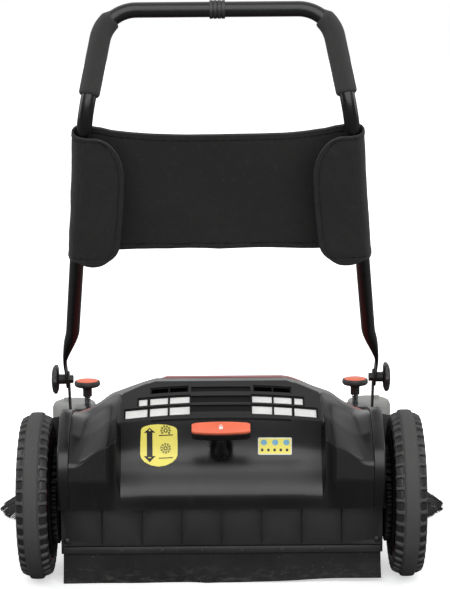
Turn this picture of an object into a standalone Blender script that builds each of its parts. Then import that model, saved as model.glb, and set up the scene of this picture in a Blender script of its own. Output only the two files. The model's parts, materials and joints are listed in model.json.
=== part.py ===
"""Manual floor sweeper: two drive wheels, main brush, two side brushes, rear hopper and a folding handle.

Metres, +Z up, +Y the way it travels, +X to the right of someone who pushes it. Every piece is drawn with the
wheel axle at Y = 0; the empty named sweeper then brings the middle of the outline to the origin.
"""
from math import atan2, cos, pi, radians, sin, sqrt, tan

import bmesh
import bpy
from mathutils import Vector

# Clearances and wall
CLEAR = 0.0003
RUN = 0.0004
WALL = 0.003

# Wheels
WHEEL_R = 0.150
WHEEL_IN_X = 0.304
TYRE_W = 0.055
RIDGE_W = 0.026
RIDGE_H = 0.004
TYRE_T = 0.032
AXLE_R = 0.010
HUB_R = 0.024
HUB_L = 0.048
WHEEL_SIDES = 36

# Drive gears
GEAR_TEETH = 36
PINION_TEETH = 9
MODULE = 0.00462
GEAR_T = 0.009
BUSH_R = 0.0136

# Side plates
PLATE_OUT_X = 0.2885
PLATE_W = 0.0205
WEB_T = 0.0047
PLATE_RIM = 0.008
PLATE_NOSE_Z = 0.132
PLATE_TIP_Z = 0.200
PLATE_CREST_Z = 0.303
PLATE_LEAN_Z = 0.255
FENDER_Y = 0.158
FENDER_DEPTH = 0.044
FENDER_W = 0.0455
FENDER_TOP_Z = 0.265
FENDER_LOW_Z = 0.140
FENDER_FALL = 0.020
FENDER_LEAN = 0.010

# Main brush
BRUSH_DIP = radians(19.29)
BRUSH_GROUND = 0.0005
SHAFT_R = 0.008
CORE_R = 0.024
BRUSH_ROWS = 6
ROW_T = 0.014
ROW_TWIST = radians(120)

# Hopper, seen from behind
HOPPER_FRONT_Y = 0.060
HOPPER_TOP_Z = 0.352
HOPPER_SEAM_Z = 0.1447
HOPPER_SEAM_Y = -0.092
HOPPER_FLOOR_Y = -0.022
HOPPER_SIDE_GAP = 0.0025
LIP_Y = -0.045
LIP_Z = 0.297
RECESS_X = 0.178
CREASE_Y = -0.108
BULGE_Y = -0.088
BULGE_Z = 0.190
TOP_DEPTH = 0.030

# T-handle
STEM_Y = -0.048
STEM_Z = 0.2416
STEM_TILT = radians(45)
STEM_R = 0.0108
STEM_L = 0.052
BAR_L = 0.1026
BAR_W = 0.0205
BAR_BASE_T = 0.008
BAR_CAP_T = 0.0112

# Rear panel and skirt
PANEL_Y = -0.0325
PANEL_T = 0.003
PANEL_BOTTOM_Z = 0.050
RIB_PITCH = 0.0717
RIB_REACH = 0.044
SKIRT_INSET = 0.004
SKIRT_T = 0.003
SKIRT_TOP_Z = 0.064
SKIRT_FLARE = 0.013

# Handle
PIVOT_Y = 0.220
PIVOT_Z = 0.320
HANDLE_ANGLE = radians(45.5)
TUBE_R = 0.0125
TUBE_WALL = 0.0015
DRAIN_R = 0.0025
STRIP_T = 0.0028
STRIP_HALF = 0.0175
FLAT_START = 0.045
FLAT_END = 0.160
LEG_X = 0.2877
LEG_TAPER = 0.1005
LEG_L = 0.746
UPPER_L = 0.174
UPPER_LEAN = radians(18)
UPPER_TAPER = 0.1874
BEND_R = 0.055
CORNER_R = 0.060
BOLT_R = 0.004
KNOB_R = 0.0285
KNOB_T = 0.0135
KNOB_NECK_L = 0.0135
KNOB_NECK_R = 0.0095
NUT_T = 0.0075
BRACKET_T = 0.0028
BRACKET_HALF = 0.013

# Grips, clip and screen
GRIP_R = 0.0172
GRIP_START = 0.030
GRIP_END = 0.148
CLIP_W = 0.0254
CLIP_R = 0.0152
SCREEN_LOW = 0.360
SCREEN_HIGH = 0.698
SCREEN_T = 0.0024
FLAP_W = 0.065
FLAP_BULGE = 0.0215

# Side brushes and their height adjusters
SIDE_X = 0.300
SIDE_Y = 0.475
SIDE_R = 0.160
SIDE_HUB_R = 0.050
SIDE_HUB_Z = 0.052
ARM_Z = 0.100
ARM_T = 0.012
ARM_R = 0.036
ARM_TIP_R = 0.012
DOME_R = 0.045
DOME_TOP_Z = 0.225
ADJUST_X = 0.2645
ADJUST_Y = 0.350
ROD_R = 0.003
ROD_TOP_Z = 0.274
SHELF_Z = 0.232
SHELF_T = 0.0067
SHELF_HALF = 0.022
ADJ_KNOB_R = 0.0255
ADJ_KNOB_TOP = 0.291
ADJ_KNOB_NECK_Z = 0.2596
SPRING_R = 0.0043
WIRE_R = 0.0006
COILS = 5


for old in list(bpy.data.objects):
    bpy.data.objects.remove(old, do_unlink=True)

frame = bpy.data.objects.new("sweeper", None)
bpy.context.scene.collection.objects.link(frame)


def material(name, colour, roughness, metallic=0.0):
    made = bpy.data.materials.new(name)
    made.use_nodes = True
    shader = made.node_tree.nodes["Principled BSDF"]
    shader.inputs["Base Color"].default_value = (*colour, 1.0)
    shader.inputs["Roughness"].default_value = roughness
    shader.inputs["Metallic"].default_value = metallic
    return made


BLACK = material("black_plastic", (0.035, 0.035, 0.038), 0.35)
MATT = material("matt_black_plastic", (0.02, 0.02, 0.02), 0.6)
TUBE = material("black_tube", (0.025, 0.025, 0.026), 0.4, 0.3)
FOAM = material("foam", (0.035, 0.035, 0.035), 0.95)
CLOTH = material("screen_cloth", (0.02, 0.02, 0.02), 0.95)
TYRE = material("tyre_rubber", (0.08, 0.08, 0.08), 0.85)
SKIRT = material("skirt_rubber", (0.02, 0.02, 0.02), 0.7)
RED = material("red_hood", (0.45, 0.02, 0.02), 0.35)
CORAL = material("coral_red", (0.9, 0.13, 0.07), 0.45)
GREY = material("light_grey_plastic", (0.55, 0.57, 0.52), 0.5)
STEEL = material("zinc_steel", (0.55, 0.55, 0.56), 0.35, 1.0)
FLEECE = material("filter_fleece", (0.85, 0.85, 0.83), 0.95)
BRISTLE = material("bristles", (0.015, 0.015, 0.015), 0.8)


def piece(name, points, faces, skin, origin=(0, 0, 0), turn=(0, 0, 0), smooth=None):
    """One closed body with its origin where it turns or slides; points are given around that origin."""
    mesh = bpy.data.meshes.new(name)
    mesh.from_pydata([tuple(p) for p in points], [], faces)
    work = bmesh.new()
    work.from_mesh(mesh)
    bmesh.ops.remove_doubles(work, verts=work.verts, dist=1e-6)
    bmesh.ops.recalc_face_normals(work, faces=work.faces)
    work.to_mesh(mesh)
    work.free()
    if skin is not None:
        mesh.materials.append(skin)
    thing = bpy.data.objects.new(name, mesh)
    bpy.context.scene.collection.objects.link(thing)
    thing.parent = frame
    thing.location = origin
    thing.rotation_euler = turn
    if smooth is not None:
        mesh.shade_smooth()
        mesh.set_sharp_from_angle(angle=radians(smooth))
    return thing


def guide(name, points, faces, origin=(0, 0, 0), turn=(0, 0, 0)):
    """A shape that only cuts or adds to another one."""
    thing = piece(name, points, faces, None, origin, turn)
    thing.hide_render = True
    thing.display_type = "WIRE"
    return thing


def combine(target, tool, operation="DIFFERENCE"):
    step = target.modifiers.new(tool.name, "BOOLEAN")
    step.operation = operation
    step.object = tool
    step.solver = "EXACT"
    return step


def many(shapes):
    """Several closed shapes in one mesh."""
    points, faces = [], []
    for more_points, more_faces in shapes:
        base = len(points)
        points += list(more_points)
        faces += [[base + i for i in face] for face in more_faces]
    return points, faces


def loft(rings):
    """A closed skin through rings that have the same number of points, flat at both ends."""
    count = len(rings[0])
    points = [p for ring in rings for p in ring]
    faces = [list(range(count))[::-1], [(len(rings) - 1) * count + i for i in range(count)]]
    for k in range(len(rings) - 1):
        for i in range(count):
            j = (i + 1) % count
            faces.append([k * count + i, k * count + j, (k + 1) * count + j, (k + 1) * count + i])
    return points, faces


def pipe(outer, inner):
    """A sleeve between two sets of rings, open at both ends."""
    count = len(outer[0])
    length = len(outer)
    points = [p for ring in outer for p in ring] + [p for ring in inner for p in ring]
    step = length * count
    faces = []
    for k in range(length - 1):
        for i in range(count):
            j = (i + 1) % count
            a, b, c, d = k * count + i, k * count + j, (k + 1) * count + j, (k + 1) * count + i
            faces.append([a, b, c, d])
            faces.append([step + d, step + c, step + b, step + a])
    for i in range(count):
        j = (i + 1) % count
        last = (length - 1) * count
        faces.append([j, i, step + i, step + j])
        faces.append([last + i, last + j, step + last + j, step + last + i])
    return points, faces


def prism_x(outline, x0, x1):
    """An outline of (y, z) points carried from one x to another."""
    return loft([[(x, y, z) for y, z in outline] for x in (x0, x1)])


def prism_z(outline, z0, z1):
    return loft([[(x, y, z) for x, y in outline] for z in (z0, z1)])


def block(x0, x1, y0, y1, z0, z1):
    return prism_x([(y0, z0), (y1, z0), (y1, z1), (y0, z1)], x0, x1)


def turned(profile, sides, axis="X", phase=0.0):
    """A closed profile of (radius, height) points turned round an axis, which it may touch."""
    rings = []
    for radius, height in profile:
        ring = []
        for k in range(sides if radius > 0 else 1):
            a = phase + 2 * pi * k / sides
            u, v = radius * cos(a), radius * sin(a)
            ring.append((height, u, v) if axis == "X" else (u, v, height))
        rings.append(ring)
    starts, points = [], []
    for ring in rings:
        starts.append(len(points))
        points += ring
    faces = []
    for k in range(len(rings)):
        n = (k + 1) % len(rings)
        if len(rings[k]) == 1 and len(rings[n]) == 1:
            continue
        for i in range(sides):
            j = (i + 1) % sides
            if len(rings[k]) == 1:
                faces.append([starts[k], starts[n] + i, starts[n] + j])
            elif len(rings[n]) == 1:
                faces.append([starts[k] + i, starts[k] + j, starts[n]])
            else:
                faces.append([starts[k] + i, starts[k] + j, starts[n] + j, starts[n] + i])
    return points, faces


def rod(radius, h0, h1, sides=24, axis="X", phase=0.0):
    return turned([(0, h0), (radius, h0), (radius, h1), (0, h1)], sides, axis, phase)


def bore(radius, sides=24, gap=RUN):
    """Corner radius of a many-sided hole in which a round of this radius turns freely."""
    return (radius + gap) / cos(pi / sides)


def moved(shape, offset):
    return [(p[0] + offset[0], p[1] + offset[1], p[2] + offset[2]) for p in shape[0]], shape[1]


def grown(outline, amount):
    """An outline drawn counterclockwise, moved inward by an amount along every edge."""
    result = []
    count = len(outline)
    for i in range(count):
        before, here, after = outline[i - 1], outline[i], outline[(i + 1) % count]
        result.append(corner_in(before, here, after, amount))
    return result


def corner_in(before, here, after, amount):
    ax, ay = here[0] - before[0], here[1] - before[1]
    bx, by = after[0] - here[0], after[1] - here[1]
    al, bl = sqrt(ax * ax + ay * ay), sqrt(bx * bx + by * by)
    n1 = (-ay / al, ax / al)
    n2 = (-by / bl, bx / bl)
    k = 1 + n1[0] * n2[0] + n1[1] * n2[1]
    return (here[0] + amount * (n1[0] + n2[0]) / k, here[1] + amount * (n1[1] + n2[1]) / k)


def between(value, table):
    """A value read from a table of (position, height) pairs."""
    if value <= table[0][0]:
        return table[0][1]
    for (a, ha), (b, hb) in zip(table, table[1:]):
        if value <= b:
            return ha + (hb - ha) * (value - a) / (b - a)
    return table[-1][1]


def ease(t):
    t = max(0.0, min(1.0, t))
    return t * t * (3 - 2 * t)


def mirrored(shape, side):
    return [(side * p[0], p[1], p[2]) for p in shape[0]], shape[1]


SIDES = (("left", -1), ("right", 1))
AXLE_Z = WHEEL_R
PANEL_TOP_Z = HOPPER_SEAM_Z - CLEAR
BOSS_IN = 0.0105
PLATE_IN_X = PLATE_OUT_X - PLATE_W
WEB_IN_X = PLATE_OUT_X - WEB_T
GEAR_X = PLATE_OUT_X + 0.0035
PITCH_SUM = MODULE * (GEAR_TEETH + PINION_TEETH) / 2
HUB_X = GEAR_X + GEAR_T + CLEAR
RIM_R = WHEEL_R - TYRE_T - CLEAR


# Wheels: tyre, rim, gear and cap turn together on a stub axle


def tyre_profile():
    top = 1 / cos(pi / WHEEL_SIDES)
    outer, inner = WHEEL_R * top, (WHEEL_R - TYRE_T) * top
    x0, x1 = WHEEL_IN_X, WHEEL_IN_X + TYRE_W
    middle = (x0 + x1) / 2
    half = RIDGE_W / 2
    low = outer - RIDGE_H
    return [
        (inner, x0 + 0.003), (outer - 0.020, x0), (low - 0.002, x0 + 0.005),
        (low, middle - half - 0.001), (outer, middle - half), (outer, middle + half),
        (low, middle + half + 0.001), (low - 0.002, x1 - 0.005), (outer - 0.020, x1), (inner, x1 - 0.003),
    ]


def rim_profile():
    top = 1 / cos(pi / WHEEL_SIDES)
    r = RIM_R * top
    x0, x1 = WHEEL_IN_X + 0.0035, WHEEL_IN_X + TYRE_W - 0.0035
    web0 = (x0 + x1) / 2 - 0.0025
    hub_end = HUB_X + HUB_L
    hole = bore(AXLE_R, WHEEL_SIDES)
    return [
        (r, x0), (r, x1), (r - 0.005, x1), (r - 0.013, web0 + 0.010), (r - 0.017, web0 + 0.005),
        (HUB_R, web0 + 0.005), (HUB_R, hub_end), (hole, hub_end), (hole, HUB_X), (HUB_R, HUB_X),
        (HUB_R, web0), (r - 0.017, web0), (r - 0.013, web0 - 0.005), (r - 0.005, x0),
    ]


def gear_outline(teeth, phase):
    """A spur gear's outline with slack between its teeth and its mate's."""
    pitch_r = MODULE * teeth / 2
    tip, root = pitch_r + 0.8 * MODULE, pitch_r - 1.15 * MODULE
    step = 2 * pi / teeth
    points = []
    for k in range(teeth):
        a = phase + k * step
        for share, radius in ((-0.31, root), (-0.13, tip), (0.13, tip), (0.31, root)):
            points.append((radius * cos(a + share * step), radius * sin(a + share * step)))
    return points


# The main brush axis lies on the circle where gear and pinion mesh
MESH_ANGLE = -BRUSH_DIP
BRUSH_Y = PITCH_SUM * cos(MESH_ANGLE)
BRUSH_Z = AXLE_Z + PITCH_SUM * sin(MESH_ANGLE)
BRUSH_R = BRUSH_Z - BRUSH_GROUND


def toothed(label, name, teeth, phase, x0, x1, shaft_r, boss_r, boss_x, skin, origin, side):
    """A gear from x0 to x1 with a boss that reaches inward to boss_x, bored for its shaft."""
    shape = loft([[(x, *p) for p in gear_outline(teeth, phase)] for x in (x0, x1)])
    gear = piece(label + name, *mirrored(shape, side), skin, origin)
    boss = guide("add_" + label + name, *mirrored(rod(boss_r, boss_x, x0 + 0.002, 16), side), origin)
    combine(gear, boss, "UNION")
    hole = rod(bore(shaft_r, 16), boss_x - 0.01, x1 + 0.01, 16)
    combine(gear, guide("cut_" + label + name, *mirrored(hole, side), origin))


def wheel(label, side):
    origin = (0, 0, AXLE_Z)
    half_step = pi / WHEEL_SIDES
    shape = mirrored(turned(tyre_profile(), WHEEL_SIDES, "X", half_step), side)
    piece(label + "_tyre", *shape, TYRE, origin, smooth=40)
    shape = mirrored(turned(rim_profile(), WHEEL_SIDES, "X", half_step), side)
    piece(label + "_rim", *shape, RED, origin, smooth=40)
    toothed(label, "_drive_gear", GEAR_TEETH, MESH_ANGLE, GEAR_X, GEAR_X + GEAR_T, AXLE_R, 0.018,
            PLATE_OUT_X + CLEAR, MATT, origin, side)
    cap_x = HUB_X + HUB_L + CLEAR
    cap = [(0, cap_x), (HUB_R, cap_x), (HUB_R, cap_x + 0.004), (0.016, cap_x + 0.008), (0, cap_x + 0.009)]
    piece(label + "_hub_cap", *mirrored(turned(cap, 24), side), MATT, origin, smooth=40)
    pin = [(0, WEB_IN_X - 0.006), (0.022, WEB_IN_X - 0.006), (0.022, WEB_IN_X - CLEAR),
           (AXLE_R, WEB_IN_X - CLEAR), (AXLE_R, cap_x - 0.002), (0, cap_x - 0.002)]
    piece(label + "_stub_axle", *mirrored(turned(pin, 24), side), STEEL, origin, smooth=40)


def pinion(label, side):
    origin = (0, BRUSH_Y, BRUSH_Z)
    half_tooth = pi / PINION_TEETH
    x0, x1 = GEAR_X + 0.0005, GEAR_X + GEAR_T - 0.0005
    toothed(label, "_pinion", PINION_TEETH, MESH_ANGLE + pi + half_tooth, x0, x1, SHAFT_R, 0.012,
            PLATE_OUT_X + 0.0022, STEEL, origin, side)
    hole = bore(SHAFT_R)
    sleeve = [(hole, WEB_IN_X - 0.012), (0.019, WEB_IN_X - 0.012), (0.019, WEB_IN_X - CLEAR),
              (BUSH_R, WEB_IN_X - CLEAR), (BUSH_R, PLATE_OUT_X + 0.0018), (hole, PLATE_OUT_X + 0.0018)]
    piece(label + "_brush_bush", *mirrored(turned(sleeve, 24), side), STEEL, origin, smooth=40)


# Side plates: a rim round a thin web


def plate_outline():
    seam = HOPPER_SEAM_Z
    rear = PANEL_Y + CLEAR
    nose = SIDE_Y - DOME_R - 0.005
    under = BRUSH_Y + BRUSH_R
    crest = PLATE_CREST_Z
    # The plate keeps just inside the outline of the hopper's shoulder
    return [
        (rear, PANEL_BOTTOM_Z), (under, PANEL_BOTTOM_Z), (under + 0.030, PLATE_NOSE_Z), (nose, PLATE_NOSE_Z),
        (nose, PLATE_TIP_Z), (nose - 0.025, SHELF_Z - CLEAR), (PIVOT_Y + 0.010, SHELF_Z - CLEAR),
        (0.165, crest - 0.036), (0.095, crest - 0.021), (0.000, crest), (-0.040, crest - 0.015),
        (CREASE_Y + 0.010, crest - 0.059), (CREASE_Y, crest - 0.098), (HOPPER_SEAM_Y + 0.004, seam),
        (rear, seam),
    ]


def side_plate(label, side):
    outline = plate_outline()
    plate = piece(label + "_side_plate", *mirrored(prism_x(outline, PLATE_IN_X, PLATE_OUT_X), side), BLACK)
    pocket = prism_x(grown(outline, PLATE_RIM), PLATE_IN_X - 0.01, WEB_IN_X)
    combine(plate, guide("cut_" + label + "_pocket", *mirrored(pocket, side)))
    screw = moved(spun_y(SCREW_R + CLEAR, -0.02, 0.007), (SCREW_X, PANEL_Y + CLEAR, SCREW_Z))
    holes = [
        moved(rod(bore(AXLE_R), WEB_IN_X - 0.02, PLATE_OUT_X + 0.02), (0, 0, AXLE_Z)),
        moved(rod(bore(BUSH_R, gap=CLEAR), WEB_IN_X - 0.02, PLATE_OUT_X + 0.02), (0, BRUSH_Y, BRUSH_Z)),
        screw,
    ]
    combine(plate, guide("cut_" + label + "_holes", *mirrored(many(holes), side)))
    # The upper edge leans inward
    low, high = PLATE_LEAN_Z, PLATE_LEAN_Z + 0.075
    outside = PLATE_OUT_X + 0.02
    lean = [(PLATE_OUT_X, low), (outside, low), (outside, high), (PLATE_OUT_X - 0.018, high)]
    corner = loft([[(x, y, z) for x, z in lean] for y in (-0.2, PIVOT_Y - 0.04)])
    combine(plate, guide("cut_" + label + "_lean", *mirrored(corner, side)))
    combine(plate, guide("add_" + label + "_fender", *mirrored(fender(0.0), side)), "UNION")
    combine(plate, guide("cut_" + label + "_fender", *mirrored(fender(WALL), side)))


def fender(wall):
    """The guard between the wheel and the side brush, open below; wall gives its hollow."""
    x0 = PLATE_OUT_X if wall else PLATE_OUT_X - 0.003
    x1 = PLATE_OUT_X + FENDER_W - wall
    low = FENDER_LOW_Z - (0.01 if wall else 0)
    y0, y1 = FENDER_Y + wall, FENDER_Y + FENDER_DEPTH - wall
    rings = []
    for x, drop in ((x0, 0.0), (x1, FENDER_LEAN)):
        top = FENDER_TOP_Z - drop - wall
        rings.append([(x, y0, low), (x, y1, low), (x, y1, top - FENDER_FALL), (x, y0, top)])
    return loft(rings)


def spun_y(radius, y0, y1, sides=16):
    """A round bar along Y."""
    ring = [(radius * cos(2 * pi * k / sides), radius * sin(2 * pi * k / sides)) for k in range(sides)]
    return loft([[(u, y, v) for u, v in ring] for y in (y0, y1)])


SCREW_X = PLATE_OUT_X - PLATE_W / 2
SCREW_Z = PANEL_BOTTOM_Z + 0.024
SCREW_R = 0.0024


# Rear panel with ribs, rubber skirt and the strip that clamps it


def rear_panel():
    y0, y1 = PANEL_Y - PANEL_T, PANEL_Y
    panel = piece("rear_panel", *block(-PLATE_OUT_X, PLATE_OUT_X, y0, y1, PANEL_BOTTOM_Z, PANEL_TOP_Z), MATT)
    ribs = []
    for k in range(-3, 4):
        x = k * RIB_PITCH
        wide, thin = 0.0017, 0.0007
        corners = [(y1 - 0.001, PANEL_TOP_Z, wide), (y0 - RIB_REACH, PANEL_TOP_Z, wide),
                   (y0 - 0.0005, SKIRT_TOP_Z + 0.003, thin), (y1 - 0.001, SKIRT_TOP_Z + 0.003, thin)]
        ribs.append(loft([[(x + s * t, y, z) for y, z, t in corners] for s in (-1, 1)]))
    combine(panel, guide("add_ribs", *many(ribs)), "UNION")
    holes = [moved(spun_y(SCREW_R + CLEAR, -0.02, 0.02), (s * SCREW_X, y0, SCREW_Z)) for s in (-1, 1)]
    combine(panel, guide("cut_panel_holes", *many(holes)))
    for label, side in SIDES:
        head = [(0, -0.0032), (0.003, -0.003), (0.006, -0.0012), (0.006, 0), (SCREW_R, 0), (SCREW_R, 0.0085),
                (0, 0.0085)]
        shape = turned(head, 16, "Z")
        shape = [(p[0], p[2], p[1]) for p in shape[0]], shape[1]
        piece(label + "_panel_screw", *shape, MATT, (side * SCREW_X, y0 - CLEAR, SCREW_Z), smooth=40)


def skirt():
    face = PANEL_Y - PANEL_T - CLEAR
    half = PLATE_OUT_X - SKIRT_INSET
    bend_z = SKIRT_TOP_Z - 0.015
    outline = [(face, SKIRT_TOP_Z), (face - SKIRT_T, SKIRT_TOP_Z), (face - SKIRT_T, bend_z),
               (face - SKIRT_T - SKIRT_FLARE, 0), (face - SKIRT_FLARE, 0), (face, bend_z)]
    piece("rear_skirt", *prism_x(outline, -half, half), SKIRT)
    back = face - SKIRT_T - CLEAR
    strip = block(-half, half, back - 0.002, back, SKIRT_TOP_Z - 0.0125, SKIRT_TOP_Z - 0.0005)
    clamp = piece("skirt_clamp", *strip, MATT)
    rivets = []
    for k in range(6):
        x = (k - 2.5) * RIB_PITCH
        rivets.append(moved(spun_y(0.004, -0.0018, 0.001, 12), (x, back - 0.002, SKIRT_TOP_Z - 0.0065)))
    combine(clamp, guide("add_rivets", *many(rivets)), "UNION")


# Hopper shell


HOPPER_HALF = PLATE_IN_X - HOPPER_SIDE_GAP


def hopper_top(x):
    return between(abs(x), [
        (0.1177, HOPPER_TOP_Z), (0.1936, HOPPER_TOP_Z - 0.0252), (0.2307, HOPPER_TOP_Z - 0.0456),
        (0.2514, HOPPER_TOP_Z - 0.0515), (HOPPER_HALF, HOPPER_TOP_Z - 0.059)])


SLOPE = (HOPPER_TOP_Z - LIP_Z) / (HOPPER_FRONT_Y - TOP_DEPTH - LIP_Y)


def hopper_middle(x):
    """Side view of the recessed middle, from the front of the top round to the front of the floor."""
    top = hopper_top(x)
    edge_y = LIP_Y + (top - LIP_Z) / SLOPE
    return [
        (HOPPER_FRONT_Y, top), (edge_y, top), ((edge_y + LIP_Y) / 2, (top + LIP_Z) / 2), (LIP_Y, LIP_Z),
        (STEM_Y, 0.2330), ((STEM_Y + BULGE_Y) / 2 - 0.002, 0.2130), (BULGE_Y, BULGE_Z),
        (HOPPER_SEAM_Y, HOPPER_SEAM_Z), (HOPPER_FLOOR_Y, HOPPER_SEAM_Z),
    ]


def hopper_shoulder(x, depth):
    """Side view of a shoulder; depth moves its back face away from the viewer."""
    top = hopper_top(x)
    crease_z = between(abs(x), [(0.204, 0.2586), (HOPPER_HALF, 0.2330)])
    lower_y = min(CREASE_Y - 0.004 + depth, HOPPER_SEAM_Y + 0.002)
    return [
        (HOPPER_FRONT_Y, top), (HOPPER_FRONT_Y - TOP_DEPTH, top), (-0.015, top - 0.009),
        (-0.060 + 0.6 * depth, top - 0.028), (CREASE_Y + 0.006 + depth, crease_z + 0.007),
        (CREASE_Y + depth, crease_z), (lower_y, 0.2000),
        (HOPPER_SEAM_Y, HOPPER_SEAM_Z), (HOPPER_FLOOR_Y, HOPPER_SEAM_Z),
    ]


def inset_profile(profile, amount, reach):
    """The profile moved inward by the wall, with its two front ends carried on past the opening."""
    line = [(profile[0][0] + reach, profile[0][1])] + profile + [(profile[-1][0] + reach, profile[-1][1])]
    inner = [(line[0][0], line[0][1] - amount)]
    for i in range(2, len(line) - 2):
        inner.append(corner_in(line[i - 1], line[i], line[i + 1], amount))
    inner.append((line[-1][0], line[-1][1] + amount))
    return inner


def hopper_rings(inside):
    shift = WALL if inside else 0.0
    stations = [
        (0.0, None), (0.060, None), (0.1177, None), (0.150, None), (RECESS_X + shift, None),
        (RECESS_X + 0.006 + shift, 0.016), (RECESS_X + 0.026 + shift / 2, 0.0), (0.2307, 0.0),
        (0.2514 - shift, 0.0), (HOPPER_HALF - 0.004 - shift, 0.003), (HOPPER_HALF - shift, 0.008),
    ]
    rings = []
    for x, depth in stations:
        profile = hopper_middle(x) if depth is None else hopper_shoulder(x, depth)
        if inside:
            profile = inset_profile(profile, WALL, 0.02)
        rings.append((x, profile))
    full = [(-x, profile) for x, profile in rings[:0:-1]] + rings
    return [[(x, y, z) for y, z in profile] for x, profile in full]


SLOPE_TILT = atan2(HOPPER_TOP_Z - LIP_Z, HOPPER_FRONT_Y - TOP_DEPTH - LIP_Y)
SLOPE_TOP = (HOPPER_FRONT_Y - TOP_DEPTH, HOPPER_TOP_Z)
SLOPE_L = sqrt((HOPPER_TOP_Z - LIP_Z) ** 2 + (HOPPER_FRONT_Y - TOP_DEPTH - LIP_Y) ** 2)
SLOT_ROWS = (
    (0.197, 0.306, ((0.0600, 0.0915), (0.0945, 0.1240))),
    (0.433, 0.612, ((0.0560, 0.0912), (0.0947, 0.1265), (0.1315, 0.1465))),
    (0.688, 0.918, ((0.0555, 0.0912), (0.0947, 0.1265), (0.1310, 0.1698))),
)
GROOVES = ((0.153, 0.280), (0.383, 0.561), (0.612, 0.790))


def on_slope(share, lift):
    """A point of the grille's slope, lifted along its normal."""
    along = share * SLOPE_L
    c, s = cos(SLOPE_TILT), sin(SLOPE_TILT)
    return (SLOPE_TOP[0] - along * c - lift * s, SLOPE_TOP[1] - along * s + lift * c)


def slope_block(x0, x1, share0, share1, low, high):
    outline = [on_slope(share0, low), on_slope(share0, high), on_slope(share1, high), on_slope(share1, low)]
    return prism_x(outline, x0, x1)


def hopper():
    shell = piece("hopper_shell", *loft(hopper_rings(False)), BLACK, smooth=20)
    combine(shell, guide("cut_hopper_inside", *loft(hopper_rings(True))))
    along = (0, STEM_Y, STEM_Z)
    tilt = (STEM_TILT, 0, 0)
    boss = guide("add_stem_boss", *rod(STEM_R + 0.0075, -BOSS_IN, 0.0085, 24, "Z"), along, tilt)
    combine(shell, boss, "UNION")
    combine(shell, guide("cut_stem_hole", *rod(bore(STEM_R), -0.04, 0.04, 24, "Z"), along, tilt))
    slots = []
    for share0, share1, columns in SLOT_ROWS:
        for x0, x1 in columns:
            slots.append(slope_block(x0, x1, share0, share1, -0.006, 0.006))
            slots.append(slope_block(-x1, -x0, share0, share1, -0.006, 0.006))
    combine(shell, guide("cut_slots", *many(slots)))
    grooves = [slope_block(-0.0525, 0.0525, a, b, -0.0015, 0.006) for a, b in GROOVES]
    combine(shell, guide("cut_grooves", *many(grooves)))
    for label, side in SIDES:
        pad = slope_block(0.045, 0.172, 0.14, 0.955, -WALL - CLEAR - 0.003, -WALL - CLEAR)
        pad_piece = piece(label + "_filter_fleece", *mirrored(pad, side), FLEECE)
        top_cut = block(0.03, 0.19, -0.08, 0.08, hopper_top(0.172) - WALL - 0.001, 0.40)
        combine(pad_piece, guide("cut_" + label + "_fleece", *mirrored(top_cut, side)))


def t_handle():
    along = (0, STEM_Y, STEM_Z)
    tilt = (STEM_TILT, 0, 0)
    flange = -BOSS_IN - CLEAR
    profile = [(0, flange - 0.003), (STEM_R + 0.0025, flange - 0.003), (STEM_R + 0.0025, flange),
               (STEM_R, flange), (STEM_R, STEM_L + 0.002), (0, STEM_L + 0.002)]
    stem = piece("t_handle_stem", *turned(profile, 24, "Z"), BLACK, along, tilt)
    half_l, half_w = BAR_L / 2 - 0.001, BAR_W / 2 - 0.001
    bar = block(-half_l, half_l, -half_w, half_w, STEM_L, STEM_L + BAR_BASE_T)
    combine(stem, guide("add_bar_base", *bar, along, tilt), "UNION")
    low = STEM_L + BAR_BASE_T + CLEAR
    cap = block(-BAR_L / 2, BAR_L / 2, -BAR_W / 2, BAR_W / 2, low, low + BAR_CAP_T)
    top = piece("t_handle_cap", *cap, CORAL, along, tilt, smooth=40)
    bevel = top.modifiers.new("edges", "BEVEL")
    bevel.width = 0.0025
    bevel.segments = 2
    bevel.limit_method = "ANGLE"


# Red hood over the main brush


HOOD_EDGE_X = PLATE_IN_X - CLEAR
HOOD_LIFT = 0.0006


def hood_rings(inside):
    drop = WALL if inside else 0.0
    high = HOPPER_TOP_Z + HOOD_LIFT
    rear = HOPPER_FRONT_Y + 0.0005
    narrow = ADJUST_X - ADJ_KNOB_R - 0.011
    falls = [
        (rear, 0.0645, 0.0, HOOD_EDGE_X), (0.120, 0.0725, 0.0085, HOOD_EDGE_X),
        (0.170, 0.0885, 0.0195, HOOD_EDGE_X),
        (0.210, 0.1045, 0.0335, HOOD_EDGE_X - 0.004), (0.300, 0.1185, 0.0755, narrow),
        (0.380, 0.1415, 0.1210, narrow), (SIDE_Y - DOME_R - 0.004, 0.1730, 0.1690, narrow),
    ]
    stations = [(y, high - edge, high - crown, half) for y, edge, crown, half in falls]
    if inside:
        first, last = stations[0], stations[-1]
        stations[0] = (first[0] - 0.01, *first[1:])
        stations[-1] = (last[0] + 0.01, *last[1:])
    rings = []
    for y, edge, crown, half in stations:
        ring = []
        shares = [(-1.0, -0.05), (-0.94, 0.08), (-0.86, 0.20), (-0.72, 0.54), (-0.43, 1.0), (0.0, 1.0)]
        shares += [(-a, h) for a, h in shares[-2::-1]]
        deep = edge - 0.030 - (0.02 if inside else 0)
        ring.append((-(half - drop), y, deep))
        ring += [(share * (half - drop), y, edge + h * (crown - edge) - drop) for share, h in shares]
        ring.append((half - drop, y, deep))
        rings.append(ring)
    return rings


def hood():
    cover = piece("front_hood", *loft(hood_rings(False)), RED, smooth=30)
    combine(cover, guide("cut_hood_inside", *loft(hood_rings(True))))


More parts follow.
